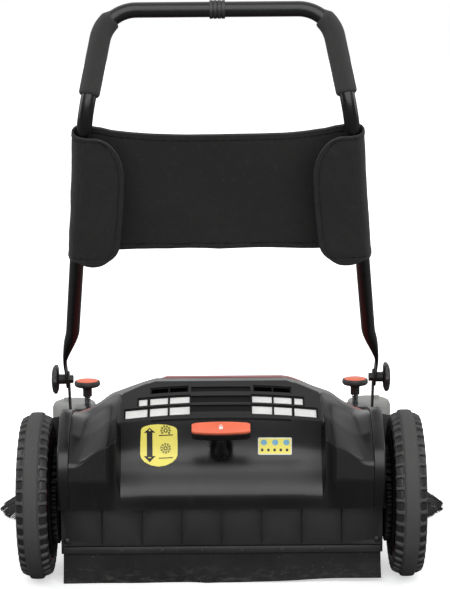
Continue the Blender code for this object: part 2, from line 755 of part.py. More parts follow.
def cross_member():
    y1 = SIDE_Y - DOME_R - 0.006
    half = PLATE_IN_X - CLEAR
    low, seat = PLATE_NOSE_Z + 0.003, PLATE_NOSE_Z + 0.016
    beam = piece("front_cross_member", *block(-half, half, y1 - 0.028, y1, low, seat), BLACK)
    inner = ADJUST_X - ADJ_KNOB_R - 0.011 - WALL - CLEAR
    rib = block(-inner, inner, y1 - 0.006, y1, seat - 0.008, HOPPER_TOP_Z - 0.173)
    combine(beam, guide("add_beam_rib", *rib), "UNION")


# Main brush


def main_brush():
    origin = (0, BRUSH_Y, BRUSH_Z)
    end = GEAR_X + GEAR_T
    body = HOPPER_HALF - 0.004
    profile = [(0, -end), (SHAFT_R, -end), (SHAFT_R, -body), (CORE_R, -body), (CORE_R, body), (SHAFT_R, body),
               (SHAFT_R, end), (0, end)]
    piece("main_brush_core", *turned(profile, 24), MATT, origin, smooth=40)
    half = body - 0.003
    steps = 10
    rings = []
    for k in range(steps + 1):
        share = k / steps
        rings.append([(-half + 2 * half * share, u, v) for u, v in row_outline(ROW_TWIST * share)])
    roller = piece("main_brush_bristles", *loft(rings), BRISTLE, origin, smooth=40)
    hole = rod(bore(CORE_R, 24, CLEAR), -body, body, 24)
    combine(roller, guide("cut_brush_core", *hole, origin))


def row_outline(turn):
    """The rows of bristles that stand on a thin sleeve, cut across."""
    sleeve = CORE_R + 0.006
    low_half = ROW_T / 2 / sleeve
    tip_half = ROW_T * 0.7 / BRUSH_R
    points = []
    for k in range(BRUSH_ROWS):
        a = turn - pi / 2 + 2 * pi * k / BRUSH_ROWS
        corners = ((-low_half, sleeve), (-tip_half, BRUSH_R), (tip_half, BRUSH_R), (low_half, sleeve))
        for angle, radius in corners:
            points.append((radius * cos(a + angle), radius * sin(a + angle)))
    return points


# Side brushes with carrier, dome, rod and adjuster


def stadium(centre_a, radius_a, centre_b, radius_b, steps=8):
    """An outline round two circles, counterclockwise."""
    dx, dy = centre_b[0] - centre_a[0], centre_b[1] - centre_a[1]
    length = sqrt(dx * dx + dy * dy)
    base = atan2(dy, dx)
    lean = atan2(radius_a - radius_b, length)
    points = []
    for k in range(steps + 1):
        a = base - pi / 2 + lean + (pi - 2 * lean) * k / steps
        points.append((centre_b[0] + radius_b * cos(a), centre_b[1] + radius_b * sin(a)))
    for k in range(steps + 1):
        a = base + pi / 2 - lean + (pi + 2 * lean) * k / steps
        points.append((centre_a[0] + radius_a * cos(a), centre_a[1] + radius_a * sin(a)))
    return points


def side_brush(label, side):
    centre = (side * SIDE_X, SIDE_Y, 0)
    hub_top = SIDE_HUB_Z + 0.012
    arm_top = ARM_Z + ARM_T
    profile = [(0, SIDE_HUB_Z), (SIDE_HUB_R, SIDE_HUB_Z), (SIDE_HUB_R, hub_top - 0.004),
               (SIDE_HUB_R - 0.006, hub_top),
               (0.018, hub_top), (SHAFT_R, hub_top + 0.004), (SHAFT_R, arm_top + 0.012), (0, arm_top + 0.012)]
    piece(label + "_side_brush_hub", *turned(profile, 24, "Z"), MATT, centre, smooth=40)
    under = SIDE_HUB_Z - CLEAR
    bristles = [(0.030, under), (SIDE_HUB_R, under), (0.105, 0.045), (0.145, 0.024), (SIDE_R, 0.004),
                (SIDE_R - 0.004, 0.0), (SIDE_R - 0.028, 0.0), (0.118, 0.016), (0.085, 0.032), (0.030, 0.040)]
    piece(label + "_side_bristles", *turned(bristles, 24, "Z"), BRISTLE, centre, smooth=40)

    arm = stadium((0, 0), ARM_R, ((ADJUST_X - SIDE_X), ADJUST_Y - SIDE_Y), ARM_TIP_R)
    shape = prism_z(arm, ARM_Z, arm_top)
    carrier = piece(label + "_brush_carrier", *mirrored(shape, side), BLACK, centre)
    boss_low = hub_top + 0.006
    boss = rod(0.019, boss_low, arm_top + 0.010, 24, "Z")
    combine(carrier, guide("add_" + label + "_boss", *boss, centre), "UNION")
    rod_hole = rod(bore(ROD_R, 12, CLEAR), ARM_Z - 0.01, arm_top + 0.01, 12, "Z")
    holes = many([
        rod(bore(SHAFT_R), boss_low - 0.01, arm_top + 0.03, 24, "Z"),
        moved(rod_hole, (ADJUST_X - SIDE_X, ADJUST_Y - SIDE_Y, 0)),
    ])
    combine(carrier, guide("cut_" + label + "_carrier", *mirrored(holes, side), centre))

    low, top = arm_top + CLEAR, DOME_TOP_Z
    r = DOME_R
    cap = [(r - 0.003, low), (r, low), (r, top - 0.012), (r - 0.004, top - 0.003), (r - 0.012, top),
           (0, top + 0.002), (0, top - 0.003), (r - 0.014, top - 0.004), (r - 0.007, top - 0.008),
           (r - 0.003, top - 0.016)]
    dome = piece(label + "_brush_dome", *turned(cap, 24, "Z"), GREY, centre, smooth=40)
    knob = moved(rod(0.006, top - 0.002, top + 0.007, 12, "Z"), (0.016, -0.004, 0))
    combine(dome, guide("add_" + label + "_dome_knob", *mirrored(knob, side), centre), "UNION")


SHELF_TOP = SHELF_Z + SHELF_T
KNOB_FLANGE_Z = ADJ_KNOB_TOP - 0.0125


def adjuster(label, side):
    spot = (side * ADJUST_X, ADJUST_Y, 0)
    y0, y1 = ADJUST_Y - SHELF_HALF, ADJUST_Y + SHELF_HALF
    shelf = block(ADJUST_X - 0.020, PLATE_OUT_X, y0, y1, SHELF_Z, SHELF_TOP)
    plate = piece(label + "_adjuster_shelf", *mirrored(shelf, side), BLACK)
    hole = rod(bore(ROD_R, 12), SHELF_Z - 0.01, SHELF_TOP + 0.01, 12, "Z")
    combine(plate, guide("cut_" + label + "_shelf", *hole, spot))
    piece(label + "_adjuster_rod", *rod(ROD_R, ARM_Z + 0.001, ROD_TOP_Z, 12, "Z"), STEEL, spot, smooth=60)

    neck, flange, top = ADJ_KNOB_NECK_Z, KNOB_FLANGE_Z, ADJ_KNOB_TOP
    pocket = ADJ_KNOB_R - 0.0035
    hole = bore(ROD_R, 24, 0.0005)
    profile = [(hole, neck), (0.009, neck), (0.009, flange - 0.004), (0.013, flange),
               (ADJ_KNOB_R - 0.003, flange + 0.001), (ADJ_KNOB_R, flange + 0.004), (ADJ_KNOB_R, top - 0.003),
               (ADJ_KNOB_R - 0.0015, top), (pocket, top),
               (pocket, top - 0.0015), (0, top - 0.0015), (0, top - 0.0045), (hole, top - 0.0045)]
    piece(label + "_adjuster_knob", *turned(profile, 24, "Z"), MATT, spot, smooth=40)
    low = top - 0.0015 + CLEAR
    insert = [(0, low), (pocket - CLEAR, low), (pocket - CLEAR, top + 0.0004), (pocket - 0.002, top + 0.0012),
              (0, top + 0.0018)]
    piece(label + "_knob_insert", *turned(insert, 24, "Z"), CORAL, spot, smooth=40)

    low, high = SHELF_TOP + WIRE_R + CLEAR, neck - WIRE_R - CLEAR
    steps = COILS * 10
    rings = []
    for k in range(steps + 1):
        a = 2 * pi * k / 10
        z = low + (high - low) * k / steps
        ring = []
        for i in range(4):
            b = 2 * pi * i / 4
            r = SPRING_R + WIRE_R * cos(b)
            ring.append((r * cos(a), r * sin(a), z + WIRE_R * sin(b)))
        rings.append(ring)
    piece(label + "_adjuster_spring", *mirrored(loft(rings), side), STEEL, spot, smooth=60)


# Folding handle

LEG_DIR = Vector((0, -cos(HANDLE_ANGLE), sin(HANDLE_ANGLE)))
OPERATOR = Vector((0, -sin(HANDLE_ANGLE), -cos(HANDLE_ANGLE)))
UPPER_DIR = Vector((0, sin(UPPER_LEAN), cos(UPPER_LEAN)))
PIVOT = Vector((0, PIVOT_Y, PIVOT_Z))
BRACKET_X = PLATE_OUT_X + CLEAR
STRIP_X = BRACKET_X + BRACKET_T + CLEAR + STRIP_T / 2
KNOB_X = STRIP_X + STRIP_T / 2 + CLEAR


def leg_x(t):
    """Distance of a leg's middle line from the centre plane, by distance from the pivot."""
    line = LEG_X - LEG_TAPER * t
    return STRIP_X + (line - STRIP_X) * ease((t - 0.055) / 0.105)


def leg_point(t):
    point = PIVOT + LEG_DIR * t
    point.x = leg_x(t)
    return point


def arc_points(before, corner, after, radius, steps):
    """Points along a bend of this radius at a corner."""
    a = (before - corner).normalized()
    b = (after - corner).normalized()
    half = a.angle(b) / 2
    reach = radius / tan(half)
    centre = corner + (a + b).normalized() * (radius / sin(half))
    start, end = corner + a * reach, corner + b * reach
    u = (start - centre).normalized()
    w = (end - centre).normalized()
    total = u.angle(w)
    side = (w - u * u.dot(w)).normalized()
    angles = [total * k / steps for k in range(steps + 1)]
    return [centre + (u * cos(a) + side * sin(a)) * radius for a in angles]


BEND = leg_point(LEG_L)
CORNER = BEND + UPPER_DIR * UPPER_L + Vector((-UPPER_TAPER * UPPER_L, 0, 0))
MIDDLE = Vector((0, CORNER.y, CORNER.z))


def half_path():
    """Right half of the tube's middle line, from below the pivot to the middle of the crossbar."""
    lengths = [-share * STRIP_HALF for share in (0.985, 0.90, 0.70, 0.40, 0.0)]
    lengths += [0.030, 0.055, 0.070, 0.085, 0.100, 0.115, 0.130, 0.145, FLAT_END, 0.430]
    path = [leg_point(t) for t in lengths]
    widths = [leg_size(t) for t in lengths]
    bend = arc_points(leg_point(LEG_L - 0.2), BEND, CORNER, BEND_R, 6)
    corner = arc_points(BEND, CORNER, MIDDLE, CORNER_R, 8)
    path += bend + corner + [MIDDLE]
    widths += [(TUBE_R, TUBE_R, 2.0)] * (len(bend) + len(corner) + 1)
    return path, widths


def roundness(t):
    """How far a leg has turned from a flat strip into a round tube, from 0 to 1."""
    return ease((t - FLAT_START) / (FLAT_END - FLAT_START))


def leg_size(t):
    """Half thickness, half width and squareness of a leg's section; its lower end is a half disc."""
    share = roundness(t)
    across = STRIP_HALF + (TUBE_R - STRIP_HALF) * share
    if t < 0:
        across = sqrt(STRIP_HALF ** 2 - t ** 2)
    return (STRIP_T / 2 + (TUBE_R - STRIP_T / 2) * share, across, 2.0 + 6.0 * (1 - share))


def frames_along(path):
    """A pair of cross directions at every point, carried along without twist; the path ends along X."""
    tangents = []
    for i, here in enumerate(path):
        before = path[i - 1] if i else here
        after = path[i + 1] if i + 1 < len(path) else here
        tangents.append((after - before).normalized())
    tangents[-1] = Vector((-1, 0, 0))
    cross = []
    side = Vector((1, 0, 0))
    for tangent in tangents:
        side = (side - tangent * side.dot(tangent)).normalized()
        cross.append((side, tangent.cross(side)))
    return cross


def section(centre, axes, half_a, half_b, power, sides):
    ring = []
    for k in range(sides):
        a = 2 * pi * k / sides
        c, s = cos(a), sin(a)
        u = half_a * (1 if c >= 0 else -1) * abs(c) ** (2 / power)
        v = half_b * (1 if s >= 0 else -1) * abs(s) ** (2 / power)
        ring.append(centre + axes[0] * u + axes[1] * v)
    return ring


def handle():
    path, widths = half_path()
    axes = frames_along(path)
    sides = 16
    rings = [section(p, a, w[0], w[1], w[2], sides) for p, a, w in zip(path, axes, widths)]
    rings = rings + [[Vector((-p.x, p.y, p.z)) for p in ring] for ring in rings[-2::-1]]
    rings = [[p - PIVOT for p in ring] for ring in rings]
    tube = piece("handle_tube", *loft(rings), TUBE, PIVOT, smooth=40)
    bore_r = TUBE_R - TUBE_WALL
    hollow = [section(p, a, bore_r, bore_r, 2.0, 10) for p, a in zip(path[14:], axes[14:])]
    first = section(leg_point(0.166), axes[14], bore_r, bore_r, 2.0, 10)
    hollow = [first] + hollow
    hollow += [[Vector((-p.x, p.y, p.z)) for p in ring] for ring in hollow[-2::-1]]
    combine(tube, guide("cut_tube_inside", *loft([[p - PIVOT for p in ring] for ring in hollow]), PIVOT))
    drain = leg_point(0.180)
    drains = [[(s * drain.x + DRAIN_R * cos(a), *(drain + LEG_DIR * DRAIN_R * sin(a) + OPERATOR * out)[1:])
               for a in (2 * pi * k / 8 for k in range(8))] for s in (-1, 1) for out in (0.004, 0.02)]
    drains = [[Vector(p) - PIVOT for p in ring] for ring in drains]
    combine(tube, guide("cut_drains", *many([loft(drains[:2]), loft(drains[2:])]), PIVOT))
    hole = rod(bore(BOLT_R, 16), STRIP_X - 0.02, STRIP_X + 0.02, 16)
    holes = many([mirrored(hole, side) for label, side in SIDES])
    combine(tube, guide("cut_bolt_holes", *holes, PIVOT))

    for label, side in SIDES:
        grip(label, side, path, axes)

    ridge = 0.0012
    inner = bore(TUBE_R, 16, CLEAR)
    half = CLIP_W / 2
    low = CLIP_R - ridge
    outline = [(low, half), (CLIP_R, half - 0.002), (CLIP_R, half / 2), (low, half * 0.4), (low, half * 0.2),
               (CLIP_R, half * 0.1)]
    profile = [(r, -x) for r, x in outline] + [(r, x) for r, x in outline[::-1]]
    profile = [(inner, -half)] + profile + [(inner, half)]
    piece("crossbar_clip", *turned(profile, 16), MATT, MIDDLE, smooth=40)
    screen()


def grip(label, side, path, axes):
    """A foam sleeve that follows the tube from its straight upper run into the corner."""
    first = len(path) - 1 - 9 - 1
    start = path[first]
    upper = (CORNER - BEND).normalized()
    base = BEND + upper * GRIP_START
    if (base - start).dot(upper) < 0:
        base = start + upper * 0.0005
    round_l = 0.006
    middle = (GRIP_END - GRIP_START) / 2
    stops = [(base + upper * reach, axes[first])
             for reach in (0.0, round_l * 0.25, round_l * 0.6, round_l, middle)]
    bend_from = first + 1
    for i in range(bend_from, bend_from + 4):
        stops.append((path[i], axes[i]))
    last = stops[-1][0]
    direction = (path[bend_from + 4] - path[bend_from + 3]).normalized()
    for step in (0.35, 0.7, 1.0):
        stops.append((last + direction * (round_l * step), axes[bend_from + 3]))
    count = len(stops)
    outer, inner = [], []
    inner_r = TUBE_R + CLEAR + 0.0002
    for i, (point, pair) in enumerate(stops):
        near = min(i, count - 1 - i)
        radius = GRIP_R - (0.0030, 0.0012, 0.0004)[near] if near < 3 else GRIP_R
        outer.append([p - PIVOT for p in section(point, pair, radius, radius, 2.0, 16)])
        inner.append([p - PIVOT for p in section(point, pair, inner_r, inner_r, 2.0, 16)])
    piece(label + "_grip", *mirrored(pipe(outer, inner), side), FOAM, PIVOT, smooth=40)


def screen_section(t):
    """One cut across the screen: both flaps, round each leg, and the panel on the far side."""
    x = leg_x(t)
    lift = TUBE_R + 0.0008 + SCREEN_T / 2
    half = []
    half.append((0.0, -lift, 0.0, -1.0))
    half.append((x, -lift, 0.0, -1.0))
    for k in range(1, 6):
        a = -pi / 2 + pi * k / 6
        half.append((x + FLAP_BULGE * cos(a), lift * sin(a), cos(a), sin(a)))
    half.append((x, lift, 0.0, 1.0))
    half.append((x - FLAP_W, lift, 0.0, 1.0))
    line = [(-u, v, -nu, nv) for u, v, nu, nv in half[:0:-1]] + half
    ring = []
    for sign in (1, -1):
        part = []
        for u, v, nu, nv in line:
            point = PIVOT + LEG_DIR * t + OPERATOR * (v + sign * nv * SCREEN_T / 2)
            point.x = u + sign * nu * SCREEN_T / 2
            part.append(point - PIVOT)
        ring += part if sign == 1 else part[::-1]
    return ring


def screen():
    steps = 6
    rings = []
    for k in range(steps + 1):
        rings.append(screen_section(SCREEN_LOW + (SCREEN_HIGH - SCREEN_LOW) * k / steps))
    points, faces = loft(rings)
    count = len(rings[0])
    half = count // 2
    # The ends are strips of quads, because the cut is a bent band
    faces = faces[2:]
    for base in (0, (len(rings) - 1) * count):
        for i in range(half - 1):
            faces.append([base + i, base + i + 1, base + count - 2 - i, base + count - 1 - i])
    piece("fabric_screen", points, faces, CLOTH, PIVOT, smooth=40)


def star_knob(label, side):
    lobes, sides = 6, 36
    rings = []
    disc = KNOB_X + KNOB_NECK_L
    wide, wave_h = KNOB_R - 0.002, 0.0030
    levels = [(KNOB_X, KNOB_NECK_R, 0.0), (disc, KNOB_NECK_R, 0.0), (disc + 0.001, 0.021, wave_h / 2),
              (disc + 0.003, wide, wave_h), (disc + 0.008, wide, wave_h),
              (disc + KNOB_T - 0.002, 0.023, wave_h * 0.6), (disc + KNOB_T, 0.014, 0.0004)]
    for x, radius, wave in levels:
        ring = []
        for k in range(sides):
            a = 2 * pi * k / sides
            r = radius + wave * cos(lobes * a)
            ring.append((x, r * cos(a), r * sin(a)))
        rings.append(ring)
    knob = piece(label + "_star_knob", *mirrored(loft(rings), side), MATT, PIVOT, smooth=50)
    bolt = rod(BOLT_R, BRACKET_X - NUT_T, KNOB_X + 0.004, 16)
    combine(knob, guide("add_" + label + "_bolt", *mirrored(bolt, side), PIVOT), "UNION")


def bracket(label, side):
    low = (PIVOT_Y + 0.062, PIVOT_Z - 0.150)
    outline = stadium((PIVOT_Y, PIVOT_Z), BRACKET_HALF + 0.003, low, BRACKET_HALF)
    shape = prism_x(outline, BRACKET_X, BRACKET_X + BRACKET_T)
    bar = piece(label + "_handle_bracket", *mirrored(shape, side), MATT)
    nut = moved(rod(0.0085, BRACKET_X - NUT_T, BRACKET_X + 0.001, 6), (0, PIVOT_Y, PIVOT_Z))
    heads = []
    for share in (0.58, 0.92):
        y = PIVOT_Y + (low[0] - PIVOT_Y) * share
        z = PIVOT_Z + (low[1] - PIVOT_Z) * share
        heads.append(moved(rod(0.0055, BRACKET_X + 0.001, BRACKET_X + BRACKET_T + 0.0032, 12), (0, y, z)))
    combine(bar, guide("add_" + label + "_nut", *mirrored(many([nut] + heads), side)), "UNION")
    hole = moved(rod(bore(BOLT_R, 16), BRACKET_X - 0.02, BRACKET_X + 0.02, 16), (0, PIVOT_Y, PIVOT_Z))
    combine(bar, guide("cut_" + label + "_pivot", *mirrored(hole, side)))


rear_panel()
skirt()
hood()
cross_member()
main_brush()
hopper()
t_handle()
handle()
for name, sign in SIDES:
    side_plate(name, sign)
    wheel(name, sign)
    pinion(name, sign)
    bracket(name, sign)
    star_knob(name, sign)
    side_brush(name, sign)
    adjuster(name, sign)

rearmost = min(v.co.y for v in bpy.data.objects["handle_tube"].data.vertices) + PIVOT_Y
foremost = SIDE_Y + SIDE_R
frame.location = (0, -(rearmost + foremost) / 2, 0)
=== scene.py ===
"""Looks of the manual floor sweeper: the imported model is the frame, finer pieces and materials go over it.

Metres, +Z up, +Y the way it travels. Points are written with the wheel axle at Y = 0, and at() brings
them to the frame's own origin.
"""
import json
import random
from math import atan2, cos, pi, radians, sin, sqrt, tan

import bmesh
import bpy
from mathutils import Euler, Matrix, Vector
from mathutils.bvhtree import BVHTree
from mathutils.noise import noise


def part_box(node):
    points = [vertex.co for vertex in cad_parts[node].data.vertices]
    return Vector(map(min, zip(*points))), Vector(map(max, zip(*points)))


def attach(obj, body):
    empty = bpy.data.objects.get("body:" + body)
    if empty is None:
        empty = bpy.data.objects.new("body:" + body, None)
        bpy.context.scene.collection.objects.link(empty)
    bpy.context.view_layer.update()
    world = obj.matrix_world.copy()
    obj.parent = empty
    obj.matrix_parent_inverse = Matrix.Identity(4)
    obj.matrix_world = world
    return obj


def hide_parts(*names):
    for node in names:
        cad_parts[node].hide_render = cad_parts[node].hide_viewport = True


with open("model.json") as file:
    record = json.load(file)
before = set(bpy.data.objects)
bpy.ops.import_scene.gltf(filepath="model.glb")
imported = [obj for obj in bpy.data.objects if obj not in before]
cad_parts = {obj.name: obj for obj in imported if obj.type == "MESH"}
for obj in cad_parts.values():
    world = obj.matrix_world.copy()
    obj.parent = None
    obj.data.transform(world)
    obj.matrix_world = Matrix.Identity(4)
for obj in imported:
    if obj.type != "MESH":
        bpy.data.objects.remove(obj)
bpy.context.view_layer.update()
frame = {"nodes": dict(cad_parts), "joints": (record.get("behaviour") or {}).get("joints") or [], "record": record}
NODES = frame["nodes"]
JOINTS = {joint["name"]: joint for joint in frame["joints"]}
SLOTS = {part["node"]: part["material_slot"] for part in frame["record"]["subparts"]}
AXLE_Y = JOINTS["left_wheel_spin"]["pos_m"][1]
SIDES = (("left", -1), ("right", 1))
X_WAY, Y_WAY, Z_WAY = Vector((1, 0, 0)), Vector((0, 1, 0)), Vector((0, 0, 1))


def at(x, y, z):
    return Vector((x, y + AXLE_Y, z))


def joint_spot(name):
    return Vector(JOINTS[name]["pos_m"])


# Camera, floor and light

IMAGE_W, IMAGE_H = 450, 589
FOCAL = 1941.0
CAMERA_SPOT = at(0.0089, -3.4157, 1.0327)
CAMERA_TURN = Euler((radians(90 - 8.632), 0.0, 0.0)).to_matrix() @ Euler((0, 0, radians(-0.45))).to_matrix()
FLOOR_REACH, FLOOR_DROP = 30.0, 0.0006


def placed(name, data, spot=(0, 0, 0)):
    thing = bpy.data.objects.new(name, data)
    bpy.context.scene.collection.objects.link(thing)
    thing.location = spot
    return thing


def make_camera():
    data = bpy.data.cameras.new("camera")
    data.sensor_width = 36.0
    data.lens = FOCAL * data.sensor_width / IMAGE_H
    data.clip_start, data.clip_end = 0.05, 60.0
    camera = placed("camera", data, CAMERA_SPOT)
    camera.rotation_euler = CAMERA_TURN.to_euler()
    bpy.context.scene.camera = camera


def sight(px, py):
    """Direction from the camera through a point of the photograph's frame."""
    return (CAMERA_TURN @ Vector((px - IMAGE_W / 2, IMAGE_H / 2 - py, -FOCAL))).normalized()


def area_light(name, spot, aim, size, power):
    data = bpy.data.lights.new(name, "AREA")
    data.shape = "RECTANGLE"
    data.size, data.size_y = size
    data.energy = power
    lamp = placed(name, data, spot)
    lamp.rotation_euler = (Vector(aim) - Vector(spot)).to_track_quat("-Z", "Y").to_euler()


class Nodes:
    """Adds nodes to a tree; a value is a number, a colour or another node's output."""

    def __init__(self, tree):
        self.tree = tree

    def feed(self, socket, value):
        if isinstance(value, bpy.types.NodeSocket):
            self.tree.links.new(value, socket)
        else:
            socket.default_value = value

    def add(self, kind, values=(), **settings):
        node = self.tree.nodes.new("ShaderNode" + kind)
        for key, value in settings.items():
            setattr(node, key, value)
        for key, value in dict(values).items():
            self.feed(node.inputs[key], value)
        return node

    def fit(self, value, a, b, c, d, **settings):
        """The value moved from the range a to b into the range c to d."""
        values = {"Value": value, "From Min": a, "From Max": b, "To Min": c, "To Max": d}
        return self.add("MapRange", values, **settings).outputs["Result"]

    def sums(self, a, b, operation="ADD"):
        return self.add("Math", {0: a, 1: b}, operation=operation).outputs[0]


def make_world():
    """White to the camera; for light and gloss a soft sky, brightest ahead and overhead."""
    world = bpy.data.worlds.new("studio")
    bpy.context.scene.world = world
    world.use_nodes = True
    sky = Nodes(world.node_tree)
    back = sky.tree.nodes["Background"]
    back.inputs["Color"].default_value = (1, 1, 1, 1)
    way = sky.add("SeparateXYZ", {0: sky.add("TexCoord").outputs["Generated"]}).outputs
    ahead = sky.fit(way["Y"], -1.0, 1.0, -0.28, 0.90, clamp=False)
    level = sky.add("Math", {0: way["Z"], 1: 0.38, 2: ahead}, operation="MULTIPLY_ADD").outputs[0]
    path = sky.add("LightPath").outputs
    level = sky.fit(level, 0.0, 1.0, 0.02, sky.fit(path["Is Glossy Ray"], 0.0, 1.0, 0.62, 1.0))
    sky.feed(back.inputs["Strength"], sky.sums(path["Is Camera Ray"], level, "MAXIMUM"))


def make_stage():
    """A pale floor that glows to the camera alone, and less where the object's shadow lies."""
    far = FLOOR_REACH
    floor = bpy.data.meshes.new("floor")
    floor.from_pydata([(-far, -far, 0), (far, -far, 0), (far, far, 0), (-far, far, 0)], [], [(0, 1, 2, 3)])
    ground = placed("floor", floor, (0, 0, -FLOOR_DROP))
    white = Look("floor_white", (0.86, 0.87, 0.88), 0.55, Specular_IOR_Level=0.15,
                 Emission_Color=(1, 1, 1, 1))
    seen = white.add("LightPath").outputs["Is Camera Ray"]
    white.paint(white.blend(seen, (0.15, 0.15, 0.15, 1), white.colour))
    away = white.add("VectorMath", {0: white.coords}, operation="LENGTH").outputs["Value"]
    white.set("Emission Strength", white.sums(seen, white.fit(away, 0.45, 1.3, 0.54, 1.0), "MULTIPLY"))
    floor.materials.append(white.made)


# Materials


class Look(Nodes):
    """A Principled material whose colour, roughness and bump come from nodes in object space."""

    def __init__(self, name, colour, rough, metallic=0.0, **fixed):
        self.made = bpy.data.materials.new(name)
        self.made.use_nodes = True
        super().__init__(self.made.node_tree)
        self.shader = self.tree.nodes["Principled BSDF"]
        self.colour = (*colour, 1.0)
        fixed.update(Base_Color=self.colour, Roughness=rough, Metallic=metallic)
        for key, value in fixed.items():
            self.shader.inputs[key.replace("_", " ")].default_value = value
        self.coords = self.add("TexCoord").outputs["Object"]
        self.normal = None

    def turned(self, turn=(0, 0, 0), scale=(1, 1, 1)):
        return self.add("Mapping", {"Vector": self.coords, "Rotation": turn, "Scale": scale}).outputs[0]

    def noise(self, scale, detail=3.0, rough=0.55, vector=None):
        values = {"Vector": vector or self.coords, "Scale": scale, "Detail": detail, "Roughness": rough}
        return self.add("TexNoise", values).outputs["Fac"]

    def blend(self, share, a, b):
        return self.add("Mix", data_type="RGBA", values={0: share, 6: a, 7: b}).outputs[2]

    def shade(self, k):
        """The look's own colour, k times as light."""
        return (*(min(1.0, c * k) for c in self.colour[:3]), 1.0)

    def shades(self, share, dark, light):
        return self.blend(share, self.shade(dark), self.shade(light))

    def set(self, key, value):
        self.tree.links.new(value, self.shader.inputs[key])

    def paint(self, colour):
        self.set("Base Color", colour)

    def gloss(self, cloud, low, high):
        """Roughness between two values, by a noise."""
        self.set("Roughness", self.fit(cloud, 0.3, 0.7, low, high))

    def bump(self, value, distance, strength=1.0):
        values = {"Height": value, "Distance": distance, "Strength": strength}
        if self.normal is not None:
            values["Normal"] = self.normal
        self.normal = self.add("Bump", values).outputs["Normal"]
        self.set("Normal", self.normal)


def plastic(name, colour, rough, worn, spread=0.05, grain=900.0, grain_depth=0.0001, scuff=0.35):
    """Moulded plastic: a fine grain, slow changes of gloss, dust and lighter worn edges."""
    look = Look(name, colour, rough)
    slow = look.noise(9.0, 4.0)
    fine = look.noise(grain, 2.0)
    streaks = look.noise(60.0, 5.0, 0.6, look.turned(scale=(1, 1, 0.12)))
    base = look.shades(look.fit(slow, 0.3, 0.7, 0, 1), 0.86, 1.16)
    dust = look.fit(streaks, 0.60, 0.78, 0.0, scuff)
    base = look.blend(dust, base, look.shade(worn * 0.6))
    edges = look.fit(look.add("NewGeometry").outputs["Pointiness"], 0.52, 0.62, 0.0, 1.0)
    edges = look.sums(edges, look.fit(fine, 0.35, 0.7, 0.1, 0.7), "MULTIPLY")
    look.paint(look.blend(edges, base, look.shade(worn)))
    gloss = look.fit(slow, 0.3, 0.7, rough - spread, rough + spread)
    look.set("Roughness", look.sums(gloss, look.fit(dust, 0, 1, 0, 0.25)))
    look.bump(fine, grain_depth)
    look.bump(slow, 0.0012, 0.25)
    return look


def woven(name, colour):
    """Black canvas: two thread directions, 1.6 mm from thread to thread, in the plane of the legs."""
    look = Look(name, colour, 0.93, Sheen_Weight=0.10, Sheen_Roughness=0.5)
    plane = look.turned((-HANDLE_ANGLE, 0, 0))
    values = {"Vector": plane, "Scale": 200.0, "Distortion": 0.6, "Detail": 1.0, "Detail Scale": 2.0}
    threads = [look.add("TexWave", values, bands_direction=way).outputs["Fac"] for way in ("X", "Y")]
    weave = look.sums(*threads, "MULTIPLY")
    slub = look.noise(90.0, 4.0, 0.6, plane)
    base = look.shades(look.fit(look.noise(7.0, 3.0), 0.3, 0.7, 0, 1), 0.82, 1.18)
    base = look.blend(look.fit(weave, 0, 1, 0.5, 0), base, look.shade(0.45))
    look.paint(look.blend(look.fit(slub, 0.55, 0.8, 0, 0.5), base, look.shade(1.8)))
    look.bump(slub, 0.0005, 0.5)
    look.bump(weave, 0.0005, 0.8)
    return look


def powder_coat():
    tube = Look("powder_coat", (0.0062, 0.0062, 0.0066), 0.30)
    slow = tube.noise(14.0, 4.0)
    tube.paint(tube.shades(slow, 0.8, 1.3))
    tube.gloss(slow, 0.26, 0.36)
    tube.bump(tube.noise(620.0, 2.0), 0.00018)
    return tube


def foam_rubber():
    foam = Look("foam", (0.028, 0.028, 0.0273), 0.95, Sheen_Weight=0.10, Sheen_Roughness=0.6)
    cells = foam.add("TexVoronoi", {"Vector": foam.coords, "Scale": 1500.0}).outputs["Distance"]
    soft = foam.noise(140.0, 5.0)
    foam.paint(foam.shades(soft, 0.78, 1.22))
    foam.bump(soft, 0.0006, 0.5)
    foam.bump(cells, 0.0005, 0.7)
    return foam


def tyre_rubber():
    rubber = Look("tyre_rubber", (0.060, 0.060, 0.0592), 0.78)
    grit = rubber.noise(420.0, 5.0, 0.7)
    slow = rubber.noise(16.0, 5.0)
    specks = rubber.fit(rubber.noise(330.0, 2.0, 0.5), 0.71, 0.76, 0.0, 0.4)
    base = rubber.shades(slow, 0.72, 1.3)
    base = rubber.blend(rubber.fit(grit, 0.5, 0.75, 0, 0.5), base, rubber.shade(1.6))
    rubber.paint(rubber.blend(specks, base, (0.36, 0.35, 0.33, 1)))
    rubber.gloss(slow, 0.68, 0.92)
    rubber.bump(grit, 0.0004, 0.8)
    return rubber


